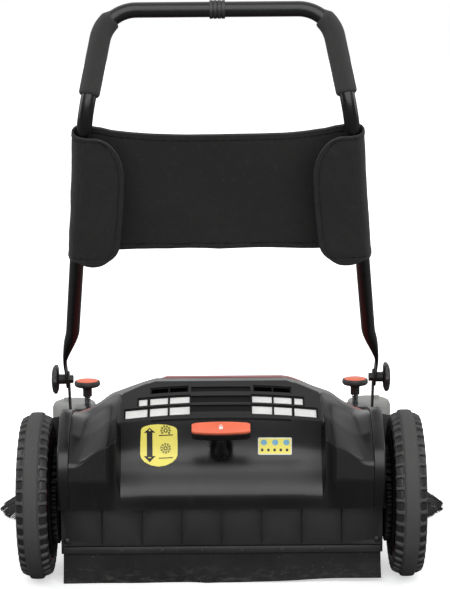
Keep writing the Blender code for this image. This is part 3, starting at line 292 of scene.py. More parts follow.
def skirt_rubber():
    """Black rubber with grey dirt, and chalky along its lower edge where it drags."""
    rubber = Look("skirt_rubber", (0.0026, 0.0026, 0.0026), 0.55, Specular_IOR_Level=0.22)
    cloud = rubber.noise(14.0, 6.0, 0.6, rubber.turned(scale=(1, 1, 0.5)))
    dirt = rubber.noise(170.0, 4.0, 0.7)
    base = rubber.blend(rubber.fit(cloud, 0.45, 0.75, 0, 1), rubber.colour, rubber.shade(2.3))
    base = rubber.blend(rubber.fit(dirt, 0.66, 0.74, 0, 0.6), base, (0.22, 0.21, 0.19, 1))
    height = rubber.add("SeparateXYZ", {0: rubber.coords}).outputs["Z"]
    low = rubber.fit(height, 0.004, 0.034, 1.0, 0.0)
    chalk = rubber.noise(70.0, 6.0, 0.75, rubber.turned(scale=(0.6, 1, 1.6)))
    chalk = rubber.fit(chalk, 0.50, 0.68, 0.0, 0.6)
    base = rubber.blend(rubber.sums(low, chalk, "MULTIPLY"), base, (0.075, 0.072, 0.068, 1))
    rubber.paint(base)
    rubber.gloss(cloud, 0.45, 0.7)
    rubber.bump(cloud, 0.0015, 0.4)
    return rubber


def zinc_steel():
    steel = Look("zinc_steel", (0.62, 0.62, 0.63), 0.30, 1.0)
    grain = steel.noise(500.0, 4.0, 0.6, steel.turned(scale=(1, 1, 0.1)))
    steel.gloss(grain, 0.22, 0.42)
    steel.paint(steel.blend(grain, (0.34, 0.34, 0.35, 1), (0.55, 0.55, 0.56, 1)))
    return steel


def filter_fleece():
    fleece = Look("filter_fleece", (0.86, 0.86, 0.84), 0.95, Sheen_Weight=0.3)
    cloud = fleece.noise(60.0, 4.0)
    fleece.paint(fleece.blend(cloud, (0.70, 0.70, 0.69, 1), (0.92, 0.92, 0.90, 1)))
    fleece.bump(fleece.noise(700.0, 5.0, 0.7), 0.0012, 0.8)
    return fleece


def bristle_nylon():
    nylon = Look("bristle_nylon", (0.014, 0.014, 0.015), 0.42)
    tint = nylon.noise(90.0, 3.0)
    nylon.paint(nylon.blend(tint, (0.008, 0.008, 0.009, 1), (0.030, 0.030, 0.032, 1)))
    nylon.gloss(tint, 0.35, 0.55)
    return nylon


def printed(name, colour, rough):
    ink = Look(name, colour, rough)
    mottle = ink.noise(300.0, 3.0)
    ink.paint(ink.shades(mottle, 0.93, 1.05))
    ink.bump(mottle, 0.00006)
    return ink


def make_looks():
    looks = {
        "black_plastic": plastic("hopper_black", (0.0060, 0.0060, 0.0064), 0.31, 5.0, grain_depth=0.00008),
        "side_black": plastic("chassis_black", (0.0260, 0.0260, 0.0266), 0.36, 4.0),
        "matt_black": plastic("matt_black", (0.0200, 0.0200, 0.0206), 0.45, 4.0, 0.07, 700.0, 0.00015, 0.5),
        "knob_black": plastic("knob_black", (0.0085, 0.0082, 0.0080), 0.45, 4.5, 0.06, 1200.0, 0.00015),
        # The dull black is the gears' own colour, and painted shade on the hopper's sunk grille bands and the
        # wheels' inner rings.
        "dull_black_and_shade": plastic("dull_black_and_shade", (0.0022, 0.0022, 0.0024), 0.62, 3.0, 0.06),
        # A dark, dull red for the hood's inner faces: painted shade inside the hood.
        "hood_inside_shade": plastic("hood_inside_shade", (0.020, 0.006, 0.006), 0.80, 1.5),
        "red_plastic": plastic("red_plastic", (0.30, 0.016, 0.016), 0.30, 1.25),
        "coral_red": plastic("coral_red", (0.95, 0.180, 0.090), 0.46, 1.1, 0.05, 1000.0, 0.00008, 0.1),
        "light_grey": plastic("light_grey", (0.30, 0.305, 0.290), 0.50, 1.1, 0.06, scuff=0.3),
        "black_tube": powder_coat(),
        "foam": foam_rubber(),
        "screen_cloth": woven("woven_black", (0.0350, 0.0350, 0.0343)),
        "stitching": woven("stitching_black", (0.0140, 0.0140, 0.0137)),
        "tyre_rubber": tyre_rubber(),
        # A darker rubber for the faces of the tyre's hollows: painted shade.
        "tyre_hollow_shade": Look("tyre_hollow_shade", (0.016, 0.016, 0.0156), 0.38),
        "skirt_rubber": skirt_rubber(),
        "zinc_steel": zinc_steel(),
        "spring_steel": Look("spring_steel", (0.070, 0.076, 0.088), 0.40, 1.0),
        "filter_fleece": filter_fleece(),
        "bristles": bristle_nylon(),
        "label_yellow": printed("label_yellow", (0.95, 0.84, 0.16), 0.40),
        "label_ink": printed("label_ink", (0.012, 0.012, 0.010), 0.5),
        "label_white": printed("label_white", (0.82, 0.84, 0.82), 0.4),
        "label_blue": printed("label_blue", (0.20, 0.46, 0.66), 0.4),
    }
    looks["dull_black_and_shade"].shader.inputs["Specular IOR Level"].default_value = 0.22
    return looks


# Pieces

STOOD_FOR = set()
WALL_T = 0.0028


def turn_out(mesh):
    work = bmesh.new()
    work.from_mesh(mesh)
    bmesh.ops.recalc_face_normals(work, faces=work.faces)
    work.to_mesh(mesh)
    work.free()


def settle(name, mesh, look, body, stands_for=(), smooth=35.0, slot=None):
    """Links a mesh as a piece that rides on a body and takes the look's finish; slot is not used."""
    turn_out(mesh)
    mesh.shade_smooth()
    if smooth < 180:
        mesh.set_sharp_from_angle(angle=radians(smooth))
    mesh.materials.clear()
    mesh.materials.append(LOOKS[look].made)
    thing = placed(name, mesh)
    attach(thing, body)
    if stands_for:
        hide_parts(*stands_for)
        STOOD_FOR.update(stands_for)
    return thing


def bare_mesh(name, shape):
    points, faces = shape
    mesh = bpy.data.meshes.new(name)
    mesh.from_pydata([tuple(p) for p in points], [], faces)
    return mesh


def fresh(name, shape, *details, **more):
    return settle(name, bare_mesh(name, shape), *details, **more)


def refine(node, look, body, slot, width, segments, smooth):
    """The node's own shape with its flat facets joined and its edges rounded."""
    work = bmesh.new()
    work.from_mesh(NODES[node].data)
    bmesh.ops.remove_doubles(work, verts=work.verts, dist=2e-6)
    bmesh.ops.dissolve_limit(work, angle_limit=radians(0.6), verts=work.verts, edges=work.edges)
    sharp = [e for e in work.edges if len(e.link_faces) == 2 and e.calc_face_angle(0.0) > radians(30)]
    bmesh.ops.bevel(work, geom=sharp, offset=width, offset_type="OFFSET", segments=segments, profile=0.5,
                    affect="EDGES", clamp_overlap=True)
    mesh = bpy.data.meshes.new(node + "_fine")
    work.to_mesh(mesh)
    work.free()
    settle(node + "_fine", mesh, look, body, (node,), smooth, slot)


def second_look(piece, look, chosen):
    """Gives another look to the faces that are chosen."""
    piece.data.materials.append(LOOKS[look].made)
    for face in piece.data.polygons:
        face.material_index = int(chosen(face))


def bake(piece):
    """Replaces a piece's mesh by what its modifier makes of it."""
    graph = bpy.context.evaluated_depsgraph_get()
    graph.update()
    flat = piece.data
    piece.data = bpy.data.meshes.new_from_object(piece.evaluated_get(graph))
    piece.modifiers.clear()
    bpy.data.meshes.remove(flat)


def walled(piece, inside_look=0):
    """Turns a skin into a moulded wall, inward from the skin."""
    wall = piece.modifiers.new("wall", "SOLIDIFY")
    wall.thickness = WALL_T
    wall.offset = -1.0
    wall.material_offset = inside_look
    bake(piece)


def cut(piece, shape):
    """Cuts closed shapes out of a piece."""
    mesh = bare_mesh("tool", shape)
    turn_out(mesh)
    tool = placed("tool", mesh)
    step = piece.modifiers.new("cut", "BOOLEAN")
    step.operation = "DIFFERENCE"
    step.object = tool
    step.solver = "EXACT"
    step.use_self = True
    step.use_hole_tolerant = True
    bake(piece)
    bpy.data.objects.remove(tool)


# Shapes, each a pair of points and faces


def skin_between(rings, closed_ring=True, ends=True):
    count = len(rings[0])
    faces = []
    if ends:
        faces = [list(range(count))[::-1], [(len(rings) - 1) * count + i for i in range(count)]]
    for k in range(len(rings) - 1):
        for i in range(count if closed_ring else count - 1):
            j = (i + 1) % count
            faces.append([k * count + i, k * count + j, (k + 1) * count + j, (k + 1) * count + i])
    return [p for ring in rings for p in ring], faces


def looped(rings):
    """A skin through rings of points, with the last ring joined to the first."""
    points, faces = skin_between(rings + rings[:1], ends=False)
    count = len(points) - len(rings[0])
    return points[:count], [[i % count for i in face] for face in faces]


def joined(shapes):
    points, faces = [], []
    for more, more_faces in shapes:
        base = len(points)
        points += list(more)
        faces += [[base + i for i in face] for face in more_faces]
    return points, faces


def two_sided(front, back, rows, columns):
    """A thin sheet from two grids of points, closed along its four edges."""
    wide = columns + 1
    step = len(front)
    last = rows * wide
    faces = []
    for j in range(rows):
        a, b = j * wide, (j + 1) * wide
        for i in range(columns):
            quad = [a + i, a + i + 1, b + i + 1, b + i]
            faces += [quad, [step + v for v in quad[::-1]]]
        faces.append([a, b, step + b, step + a])
        faces.append([b + columns, a + columns, step + a + columns, step + b + columns])
    for i in range(columns):
        faces.append([i + 1, i, step + i, step + i + 1])
        faces.append([last + i, last + i + 1, step + last + i + 1, step + last + i])
    return front + back, faces


def mirrored(rings, side):
    return [[Vector((side * p.x, p.y, p.z)) for p in ring] for ring in rings]


def ring_around(centre, u, v, radius, sides):
    return [centre + u * (radius * cos(2 * pi * k / sides)) + v * (radius * sin(2 * pi * k / sides))
            for k in range(sides)]


def carried(path, side=X_WAY, beyond=Vector((-0.01, 0, 0))):
    """Cross directions along a route, without twist; beyond is the step after its last point."""
    pairs = []
    for i, here in enumerate(path):
        before = path[max(i - 1, 0)]
        after = path[i + 1] if i + 1 < len(path) else here + beyond
        ahead = (after - before).normalized()
        side = (side - ahead * side.dot(ahead)).normalized()
        pairs.append((side, ahead.cross(side)))
    return pairs


def cross_way(way):
    return Z_WAY if abs(way.normalized().x) > 0.9 else X_WAY


def sweep(path, radii, sides):
    """A round bar along points, without twist."""
    pairs = carried(path, cross_way(path[1] - path[0]), Vector((0, 0, 0)))
    return skin_between([ring_around(p, *pair, r, sides) for p, pair, r in zip(path, pairs, radii)])


def tube_along_x(spot, profile, sides):
    """A closed profile of (radius, distance along X) turned round an axis along X."""
    return looped([ring_around(spot + X_WAY * h, Y_WAY, Z_WAY, r, sides) for r, h in profile])


def spun(profile, spot, way, sides):
    """A profile of (radius, height) turned round an axis; it starts and ends on the axis."""
    side = cross_way(way)
    up = way.cross(side).normalized()
    rings = [ring_around(spot + way * h, side, up, r, sides) for r, h in profile[1:-1]]
    points, faces = skin_between(rings, ends=False)
    count = len(points)
    for tip, base in ((count, 0), (count + 1, count - sides)):
        faces += [[tip, base + i, base + (i + 1) % sides] for i in range(sides)]
    return points + [spot + way * profile[0][1], spot + way * profile[-1][1]], faces


def clamped(value, low, high):
    return max(low, min(high, value))


def ease(t):
    t = clamped(t, 0.0, 1.0)
    return t * t * (3 - 2 * t)


def cubic(t, start, end, leave, arrive, wide=1):
    """From start to end as t goes from 0 to 1 along a stretch that wide, with a slope at each end."""
    return ((2 * t ** 3 - 3 * t * t + 1) * start + (t ** 3 - 2 * t * t + t) * leave * wide
            + (-2 * t ** 3 + 3 * t * t) * end + (t ** 3 - t * t) * arrive * wide)


def curve_through(a, b, c, d, t):
    """A point between b and c of the smooth curve through four points."""
    return tuple(cubic(t, b[k], c[k], (c[k] - a[k]) / 2, (d[k] - b[k]) / 2) for k in range(2))


def midway(a, b, share):
    return a[0] + (b[0] - a[0]) * share, a[1] + (b[1] - a[1]) * share


def hump(away, reach):
    return max(0.0, 1 - abs(away) / reach)


def round_drop(share, power=2):
    """How far a rounded end has dropped, from 0 where it starts to 1 at its tip."""
    return 1 - sqrt(max(0.0, 1 - share ** power))


def smooth_between(value, table):
    """Looks a value up in a table, with the slope eased from one stretch to the next."""
    if value <= table[0][0]:
        return table[0][1]
    slopes = [(h1 - h0) / (x1 - x0) for (x0, h0), (x1, h1) in zip(table, table[1:])]
    for k, own in enumerate(slopes):
        (x0, h0), (x1, h1) = table[k], table[k + 1]
        if value <= x1:
            before = slopes[max(k - 1, 0)]
            after = slopes[min(k + 1, len(slopes) - 1)]
            slants = [0.5 * (own + other) * 0.7 if own else 0.0 for other in (before, after)]
            return cubic((value - x0) / (x1 - x0), h0, h1, *slants, x1 - x0)
    return table[-1][1]


# Tyres

WHEEL_R = 0.150
WHEEL_IN_X = 0.304
TYRE_W = 0.055
LUGS = 42
LUG_STEPS = 22
SHOULDER_X = 0.0125
POCKET_IN_X, POCKET_REACH = 0.0205, 0.0072
POCKET_HALF = 0.0090
POCKET_DEPTH = 0.0042
POCKET_ROUND = 0.16


def tyre(label, side):
    """A round ridge down the middle and half-round hollows along both shoulders, whose faces take a darker rubber
    as painted shade.
    """
    half = TYRE_W / 2
    across = [(-half + 0.003, -0.0315), (-half + 0.0008, -0.0285), (-half, -0.020), (-half + 0.0006, -0.0135)]
    across += [(-half + 0.0020 + 0.0130 * k / 15, -0.0104 + 0.0050 * sin(pi / 2 * k / 15)) for k in range(16)]
    across += [(-0.0119, -0.0030), (-0.0108, -0.0013), (-0.0085, -0.0004), (-0.0055, -0.0001), (-0.0025, 0.0)]
    across += [(-x, r) for x, r in across[::-1]]
    rings, sunk_shade = [], []
    for k in range(LUGS * LUG_STEPS):
        angle = 2 * pi * k / (LUGS * LUG_STEPS)
        along = ((k % LUG_STEPS) / LUG_STEPS - 0.5) * 2 * pi * WHEEL_R / LUGS
        ring = []
        for x, drop in across:
            depth = 0.0
            if abs(x) > SHOULDER_X:
                inward = max(0.0, POCKET_IN_X - abs(x)) / POCKET_REACH
                reach = ((along / POCKET_HALF) ** 4 + inward ** 4) ** 0.25
                depth = POCKET_DEPTH * ease((1.0 - reach) / POCKET_ROUND)
                if drop < -0.018:
                    depth *= 0.1
            sunk_shade.append(depth)
            r = WHEEL_R + drop - depth
            ring.append(at(side * (WHEEL_IN_X + half + x), r * cos(angle), WHEEL_R + r * sin(angle)))
        rings.append(ring)
    wheel = label + "_wheel"
    tread = fresh(label + "_tyre_tread", looped(rings), "tyre_rubber", wheel, (label + "_tyre",), 40)
    # The hollows' faces take the darker rubber: painted shade in the hollows.
    second_look(tread, "tyre_hollow_shade", lambda face: min(sunk_shade[v] for v in face.vertices) > 0.0003)


# Handle tube, grips and screen, along the same route as the frame

PIVOT = joint_spot("handle_fold")
HANDLE_ANGLE = radians(45.5)
TUBE_R = 0.0125
PLATE_OUT_X = 0.2885
BRACKET_T, FIT = 0.0028, 0.0003
STRIP_T = 0.0028
STRIP_HALF = 0.0175
STRIP_X = PLATE_OUT_X + FIT + BRACKET_T + FIT + STRIP_T / 2
LEG_X = 0.2877
LEG_TAPER = 0.1005
LEG_L = 0.746
UPPER_L = 0.174
UPPER_LEAN = radians(18)
UPPER_TAPER = 0.1874
BEND_R = 0.055
CORNER_R = 0.060
GRIP_R = 0.0172
GRIP_START = 0.030
LEG_DIR = Vector((0, -cos(HANDLE_ANGLE), sin(HANDLE_ANGLE)))
OPERATOR = Vector((0, -sin(HANDLE_ANGLE), -cos(HANDLE_ANGLE)))
UPPER_DIR = Vector((0, sin(UPPER_LEAN), cos(UPPER_LEAN)))


def leg_x(t):
    """The flattened end stands at the bracket; from there the leg bends in to its own line."""
    line = LEG_X - LEG_TAPER * t
    return STRIP_X + (line - STRIP_X) * ease((t - 0.055) / 0.105)


def leg_point(t):
    point = PIVOT + LEG_DIR * t
    point.x = leg_x(t)
    return point


def arc_points(before, corner, after, radius, steps):
    a = (before - corner).normalized()
    b = (after - corner).normalized()
    half = a.angle(b) / 2
    reach = radius / tan(half)
    centre = corner + (a + b).normalized() * (radius / sin(half))
    start, end = corner + a * reach, corner + b * reach
    u = (start - centre).normalized()
    w = (end - centre).normalized()
    total = u.angle(w)
    across = (w - u * u.dot(w)).normalized()
    return [centre + (u * cos(total * k / steps) + across * sin(total * k / steps)) * radius
            for k in range(steps + 1)]


BEND = leg_point(LEG_L)
CORNER = BEND + UPPER_DIR * UPPER_L + Vector((-UPPER_TAPER * UPPER_L, 0, 0))
CROSSBAR = Vector((0, CORNER.y, CORNER.z))


def upper_bends(corner_steps):
    return (arc_points(leg_point(LEG_L - 0.2), BEND, CORNER, BEND_R, 20),
            arc_points(BEND, CORNER, CROSSBAR, CORNER_R, corner_steps))


def section(centre, axes, half_a, half_b, power, sides):
    """A rounded outline: an ellipse at power 2, squarer above."""
    ring = []
    for k in range(sides):
        c, s = cos(2 * pi * k / sides), sin(2 * pi * k / sides)
        u = half_a * (1 if c >= 0 else -1) * abs(c) ** (2 / power)
        v = half_b * (1 if s >= 0 else -1) * abs(s) ** (2 / power)
        ring.append(centre + axes[0] * u + axes[1] * v)
    return ring


def handle_tube():
    lengths = [-share * STRIP_HALF for share in (0.985, 0.94, 0.85, 0.70, 0.5, 0.25)]
    lengths += [0.005 * k for k in range(33)] + [0.30, 0.45]
    path = [leg_point(t) for t in lengths]
    widths = []
    for t in lengths:
        share = ease((t - 0.045) / 0.115)
        flat = sqrt(STRIP_HALF ** 2 - min(t, 0) ** 2)
        thick = STRIP_T / 2 + (TUBE_R - STRIP_T / 2) * share
        widths.append((thick, flat + (TUBE_R - flat) * share, 8 - 6 * share))
    bend, corner = upper_bends(28)
    path += bend + corner + [CROSSBAR]
    widths += [(TUBE_R, TUBE_R, 2.0)] * (len(path) - len(widths))
    rings = [section(point, axes, *width, 40) for point, axes, width in zip(path, carried(path), widths)]
    rings += mirrored(rings[-2::-1], -1)
    fresh("handle_bar", skin_between(rings), "black_tube", "handle", ("handle_tube",), 50)


def grip(label, side):
    """A foam sleeve with rounded ends that follows the tube into the corner."""
    bend, corner = upper_bends(32)
    low = BEND + (CORNER - BEND).normalized() * GRIP_START
    if (low - bend[-1]).dot(CORNER - BEND) < 0:
        low = bend[-1]
    path = [low.lerp(corner[0], k / 24) for k in range(24)] + corner[:14]
    last = (corner[13] - corner[12]).normalized()
    path += [path[-1] + last * d for d in (0.0022, 0.0042, 0.0056)]
    first = (path[1] - path[0]).normalized()
    path = [path[0] + first * d for d in (-0.0005, 0.0, 0.0015, 0.0035)] + path[1:]
    travelled = [0.0]
    for a, b in zip(path, path[1:]):
        travelled.append(travelled[-1] + (b - a).length)
    outer, inner = [], []
    for point, pair, here in zip(path, carried(path), travelled):
        near = min(here, travelled[-1] - here)
        round_off = 0.0034 * round_drop(hump(near, 0.0055))
        wave = 0.00025 * noise(point * 60 + X_WAY * (side * 5))
        outer.append(section(point, pair, GRIP_R - round_off + wave, GRIP_R - round_off - wave, 2.0, 36))
        inner.append(section(point, pair, TUBE_R + 0.0002, TUBE_R + 0.0002, 2.0, 36))
    sleeve = looped(mirrored(outer + inner[::-1], side))
    piece = fresh(label + "_foam_grip", sleeve, "foam", "handle", (label + "_grip",), 60)


SCREEN_LOW, SCREEN_HIGH = 0.382, 0.707
SCREEN_ROWS, SCREEN_COLUMNS = 120, 280
SCREEN_T = 0.0022
FLAP_W = 0.065
FLAP_BULGE = 0.0162
LIFT = TUBE_R + 0.0008 + SCREEN_T / 2
WRAP_L = pi * sqrt((FLAP_BULGE ** 2 + LIFT ** 2) / 2)
TOP_DIP = 0.027
PANEL_HEM, FLAP_HEM = 0.0130, 0.0078
STITCH_HALF = 0.0013


def cloth_place(s, t):
    """Where a point of the cloth lies, s across from the middle and t along the legs, and its way out."""
    sign = 1 if s >= 0 else -1
    s = abs(s)
    x = leg_x(t)
    if s < x:
        u, v, nu, nv = s, -LIFT, 0.0, -1.0
    elif s < x + WRAP_L:
        a = -pi / 2 + pi * (s - x) / WRAP_L
        bulge = FLAP_BULGE - 0.0018 + 0.0036 * (t - SCREEN_LOW) / (SCREEN_HIGH - SCREEN_LOW)
        u, v, nu, nv = x + bulge * cos(a), LIFT * sin(a), cos(a), sin(a)
    else:
        u, v, nu, nv = x - (s - x - WRAP_L), LIFT, 0.0, 1.0
    point = PIVOT + LEG_DIR * t + OPERATOR * v
    point.x = sign * u
    out = OPERATOR * nv
    out.x = sign * nu
    return point, out


def flap_reach(t):
    """How far the flap comes in beyond the leg; its corners are round."""
    share = (t - SCREEN_LOW) / (SCREEN_HIGH - SCREEN_LOW)
    top = max(0.0, (share - 0.62) / 0.38)
    low = max(0.0, (0.16 - share) / 0.16)
    shape = 1.0 - 0.78 * round_drop(top, 2.6) - 0.45 * round_drop(low, 2.2)
    lean = 0.004 * sin(pi * share) + 0.007 * (1 - share)
    return (FLAP_W + lean) * shape


def cloth_point(w, q):
    """Front and back of the cloth at w up and q across, from -1 to 1, and how far its stitch line is."""
    t = SCREEN_LOW + (SCREEN_HIGH - SCREEN_LOW) * w
    x = leg_x(t)
    whole = x + WRAP_L + flap_reach(t)
    s = q * whole
    off = abs(s)
    flap = off - x - WRAP_L
    inner = min(1.0, off / x)
    dip = TOP_DIP * (1 - inner ** 3.2)
    rise = 0.004 * sin(pi * inner * 1.5) * (1 - inner)
    t = t - dip * ease((w - 0.55) / 0.45) + rise * (1 - w)
    if flap > 0:
        t -= 0.011 * sin(pi * min(1.0, flap / 0.058)) * ease((0.12 - w) / 0.12)
    point, out = cloth_place(s, t)
    ripple = 0.0011 * noise(Vector((s * 16, t * 11, 2.0))) + 0.0004 * noise(Vector((s * 60, t * 45, 7.0)))
    tug = 0.0016 * noise(Vector((s * 45, 4.0, t * 4))) * (ease((off - 0.12) / 0.1) if off < x else 0.3)
    on_panel = off < x + 0.5 * WRAP_L
    from_edge = min(t - SCREEN_LOW if on_panel else 1, SCREEN_HIGH - dip - t)
    if off > x + WRAP_L * 0.8:
        from_edge = min(t - SCREEN_LOW, SCREEN_HIGH - t, whole - off)
    hem_w = PANEL_HEM if on_panel else FLAP_HEM
    from_stitch = abs(from_edge - hem_w - 0.001)
    hem = 0.0009 * ease((hem_w - from_edge) / 0.0012) - 0.0017 * hump(from_stitch, 0.0023)
    hem += 0.0005 * sin(s * 520) * hump(from_stitch, 0.007)
    lift = ripple + tug
    if flap > 0:
        lift += 0.0018 * ease(flap / FLAP_W) + 0.0015 * ease((off - x - 0.02) / 0.05)
    front = SCREEN_T / 2 + lift + hem
    back = -SCREEN_T / 2 + lift - (hem if off < x else 0.0)
    return point + out * front, point + out * back, from_stitch


def screen():
    """The canvas round both legs with a flap on each side; its rows lie closer at its hems."""
    front, back, stitch = [], [], []
    for j in range(SCREEN_ROWS + 1):
        turn = cos(pi * j / SCREEN_ROWS)
        for i in range(SCREEN_COLUMNS + 1):
            places = cloth_point(0.5 - 0.5 * turn * (0.65 + 0.35 * turn ** 2), 2 * i / SCREEN_COLUMNS - 1)
            for row, place in zip((front, back, stitch), places):
                row.append(place)
    shape = two_sided(front, back, SCREEN_ROWS, SCREEN_COLUMNS)
    cloth = fresh("screen_canvas", shape, "screen_cloth", "handle", ("fabric_screen",), 70)
    count = len(front)
    second_look(cloth, "stitching",
                lambda face: sum(stitch[v % count] for v in face.vertices) / 4 < STITCH_HALF)


# Hopper: the frame's profiles, drawn smooth and dense, with its slots cut in rows that bow

HOPPER_HALF = 0.2672
HOPPER_TOP = 0.352
FRONT_Y, FLOOR_Y = 0.060, -0.022
SEAM_Y, SEAM_Z = -0.092, 0.1447
TOP_DEPTH = 0.030
LIP_Y, LIP_Z = -0.045, 0.297
FLAT_TOP_X = 0.1177
RECESS_X, SHOULDER_IN_X, EDGE_X = 0.178, 0.184, 0.225
CREASE_Y = -0.108
BULGE_Y = -0.0945
STEM_SPOT = joint_spot("t_handle_turn")
STEM_WAY = Vector((0, -sin(radians(45)), cos(radians(45))))
STEM_UP = STEM_WAY.cross(X_WAY).normalized()
SLOPE_RISE, SLOPE_RUN = HOPPER_TOP - LIP_Z, FRONT_Y - TOP_DEPTH - LIP_Y
SLOPE_TILT = atan2(SLOPE_RISE, SLOPE_RUN)
SLOPE_L = sqrt(SLOPE_RISE ** 2 + SLOPE_RUN ** 2)
SLOT_ROWS = (
    (0.197, 0.306, ((0.0600, 0.0915), (0.0945, 0.1240))),
    (0.433, 0.600, ((0.0560, 0.0912), (0.0947, 0.1265), (0.1315, 0.1465))),
    (0.688, 0.893, ((0.0555, 0.0912), (0.0947, 0.1265), (0.1310, 0.1698))),
)
MIDDLE_ROWS = ((0.180, 0.305), (0.413, 0.585), (0.650, 0.825))
STRETCH_STEPS = (5, 7, 7, 14, 7, 9, 12, 6)


def hopper_top(x):
    return HOPPER_TOP - smooth_between(abs(x), [(FLAT_TOP_X, 0.0), (0.1936, 0.0252), (0.2273, 0.0470),
                                                (0.2505, 0.0590), (HOPPER_HALF, 0.0625)])


def bow(x):
    """How far a row of slots sinks along the slope away from the middle."""
    return -0.058 + 4.4 * x * x


def on_slope(share, lift):
    along = share * SLOPE_L
    c, s = cos(SLOPE_TILT), sin(SLOPE_TILT)
    return FRONT_Y - TOP_DEPTH - along * c - lift * s, HOPPER_TOP - along * s + lift * c


def middle_line(x):
    """Side view of the middle: the slope with the grille, the recess below its lip and the bulge."""
    top = hopper_top(x)
    edge_y = LIP_Y + (top - LIP_Z) / (SLOPE_RISE / SLOPE_RUN)
    lip = on_slope(1 + bow(x) * 0.8, 0)
    swell = 0.007 * ease((abs(x) - 0.120) / 0.058)
    return [(FRONT_Y, top), (edge_y, top), ((edge_y + lip[0]) / 2, (top + lip[1]) / 2), lip,
            (-0.0500 + swell * 0.3, 0.2420), (-0.0680 + swell, 0.2130), (BULGE_Y + 0.6 * swell, 0.1760),
            (SEAM_Y, SEAM_Z), (FLOOR_Y, SEAM_Z)]


def shoulder_line(x):
    """Side view of a shoulder: it runs into the recess on one side and up to the side band on the other."""
    top = hopper_top(x)
    crease = [(SHOULDER_IN_X, 0.2680), (0.204, 0.2588), (0.246, 0.2385), (HOPPER_HALF, 0.2240)]
    crease_z = smooth_between(x, crease)
    steep, middle, high = [0.016 * (1 - ease((x - SHOULDER_IN_X) / wide)) for wide in (0.019, 0.012, 0.006)]
    line = [(FRONT_Y, top), (FRONT_Y - TOP_DEPTH, top), (-0.015 + 0.3 * high, top - 0.009),
            (-0.060 + 0.7 * middle, top - 0.028), (CREASE_Y + 0.0022 + steep, crease_z + 0.0024),
            (CREASE_Y + steep, crease_z), (min(CREASE_Y - 0.003 + steep, SEAM_Y + 0.002), 0.2000),
            (SEAM_Y, SEAM_Z), (FLOOR_Y, SEAM_Z)]
    edge = [(FRONT_Y, 0.2895), (FRONT_Y - TOP_DEPTH, 0.2960), (-0.015, 0.2972), (-0.060, 0.2745),
            (-0.1050, 0.2310), (-0.1070, 0.2265), (-0.1075, 0.2000), (SEAM_Y, SEAM_Z), (FLOOR_Y, SEAM_Z)]
    share = ease((x - EDGE_X) / (HOPPER_HALF - EDGE_X))
    return [midway(a, b, share) for a, b in zip(line, edge)]


def dense_line(points, smooth):
    """Points along a side view; smooth names the stretches that are curved."""
    line = []
    for k, steps in enumerate(STRETCH_STEPS):
        b, c = points[k], points[k + 1]
        a = points[k - 1] if k - 1 in smooth else (2 * b[0] - c[0], 2 * b[1] - c[1])
        d = points[k + 2] if k + 1 in smooth else (2 * c[0] - b[0], 2 * c[1] - b[1])
        for i in range(steps):
            line.append(curve_through(a, b, c, d, i / steps) if k in smooth else midway(b, c, i / steps))
    return line + [points[-1]]


def hopper_station(x):
    x = abs(x)
    inner = dense_line(middle_line(min(x, RECESS_X)), {3, 4, 5, 6})
    outer = dense_line(shoulder_line(max(x, SHOULDER_IN_X)), {1, 2})
    if x <= RECESS_X or x >= SHOULDER_IN_X:
        return inner if x <= RECESS_X else outer
    share = (x - RECESS_X) / (SHOULDER_IN_X - RECESS_X)
    return [midway(a, b, share) for a, b in zip(inner, outer)]


def slope_slot(x0, x1, share0, share1, low, high, follow=1.0):
    """A slot's cutter that sinks with the bow of its row, in short steps across."""
    rings = []
    steps = max(1, int(abs(x1 - x0) / 0.012))
    for k in range(steps + 1):
        x = x0 + (x1 - x0) * k / steps
        drop = bow(x) * follow
        corners = ((share0, low), (share0, high), (share1, high), (share1, low))
        rings.append([at(x, *on_slope(share + drop, lift)) for share, lift in corners])
    return skin_between(rings)


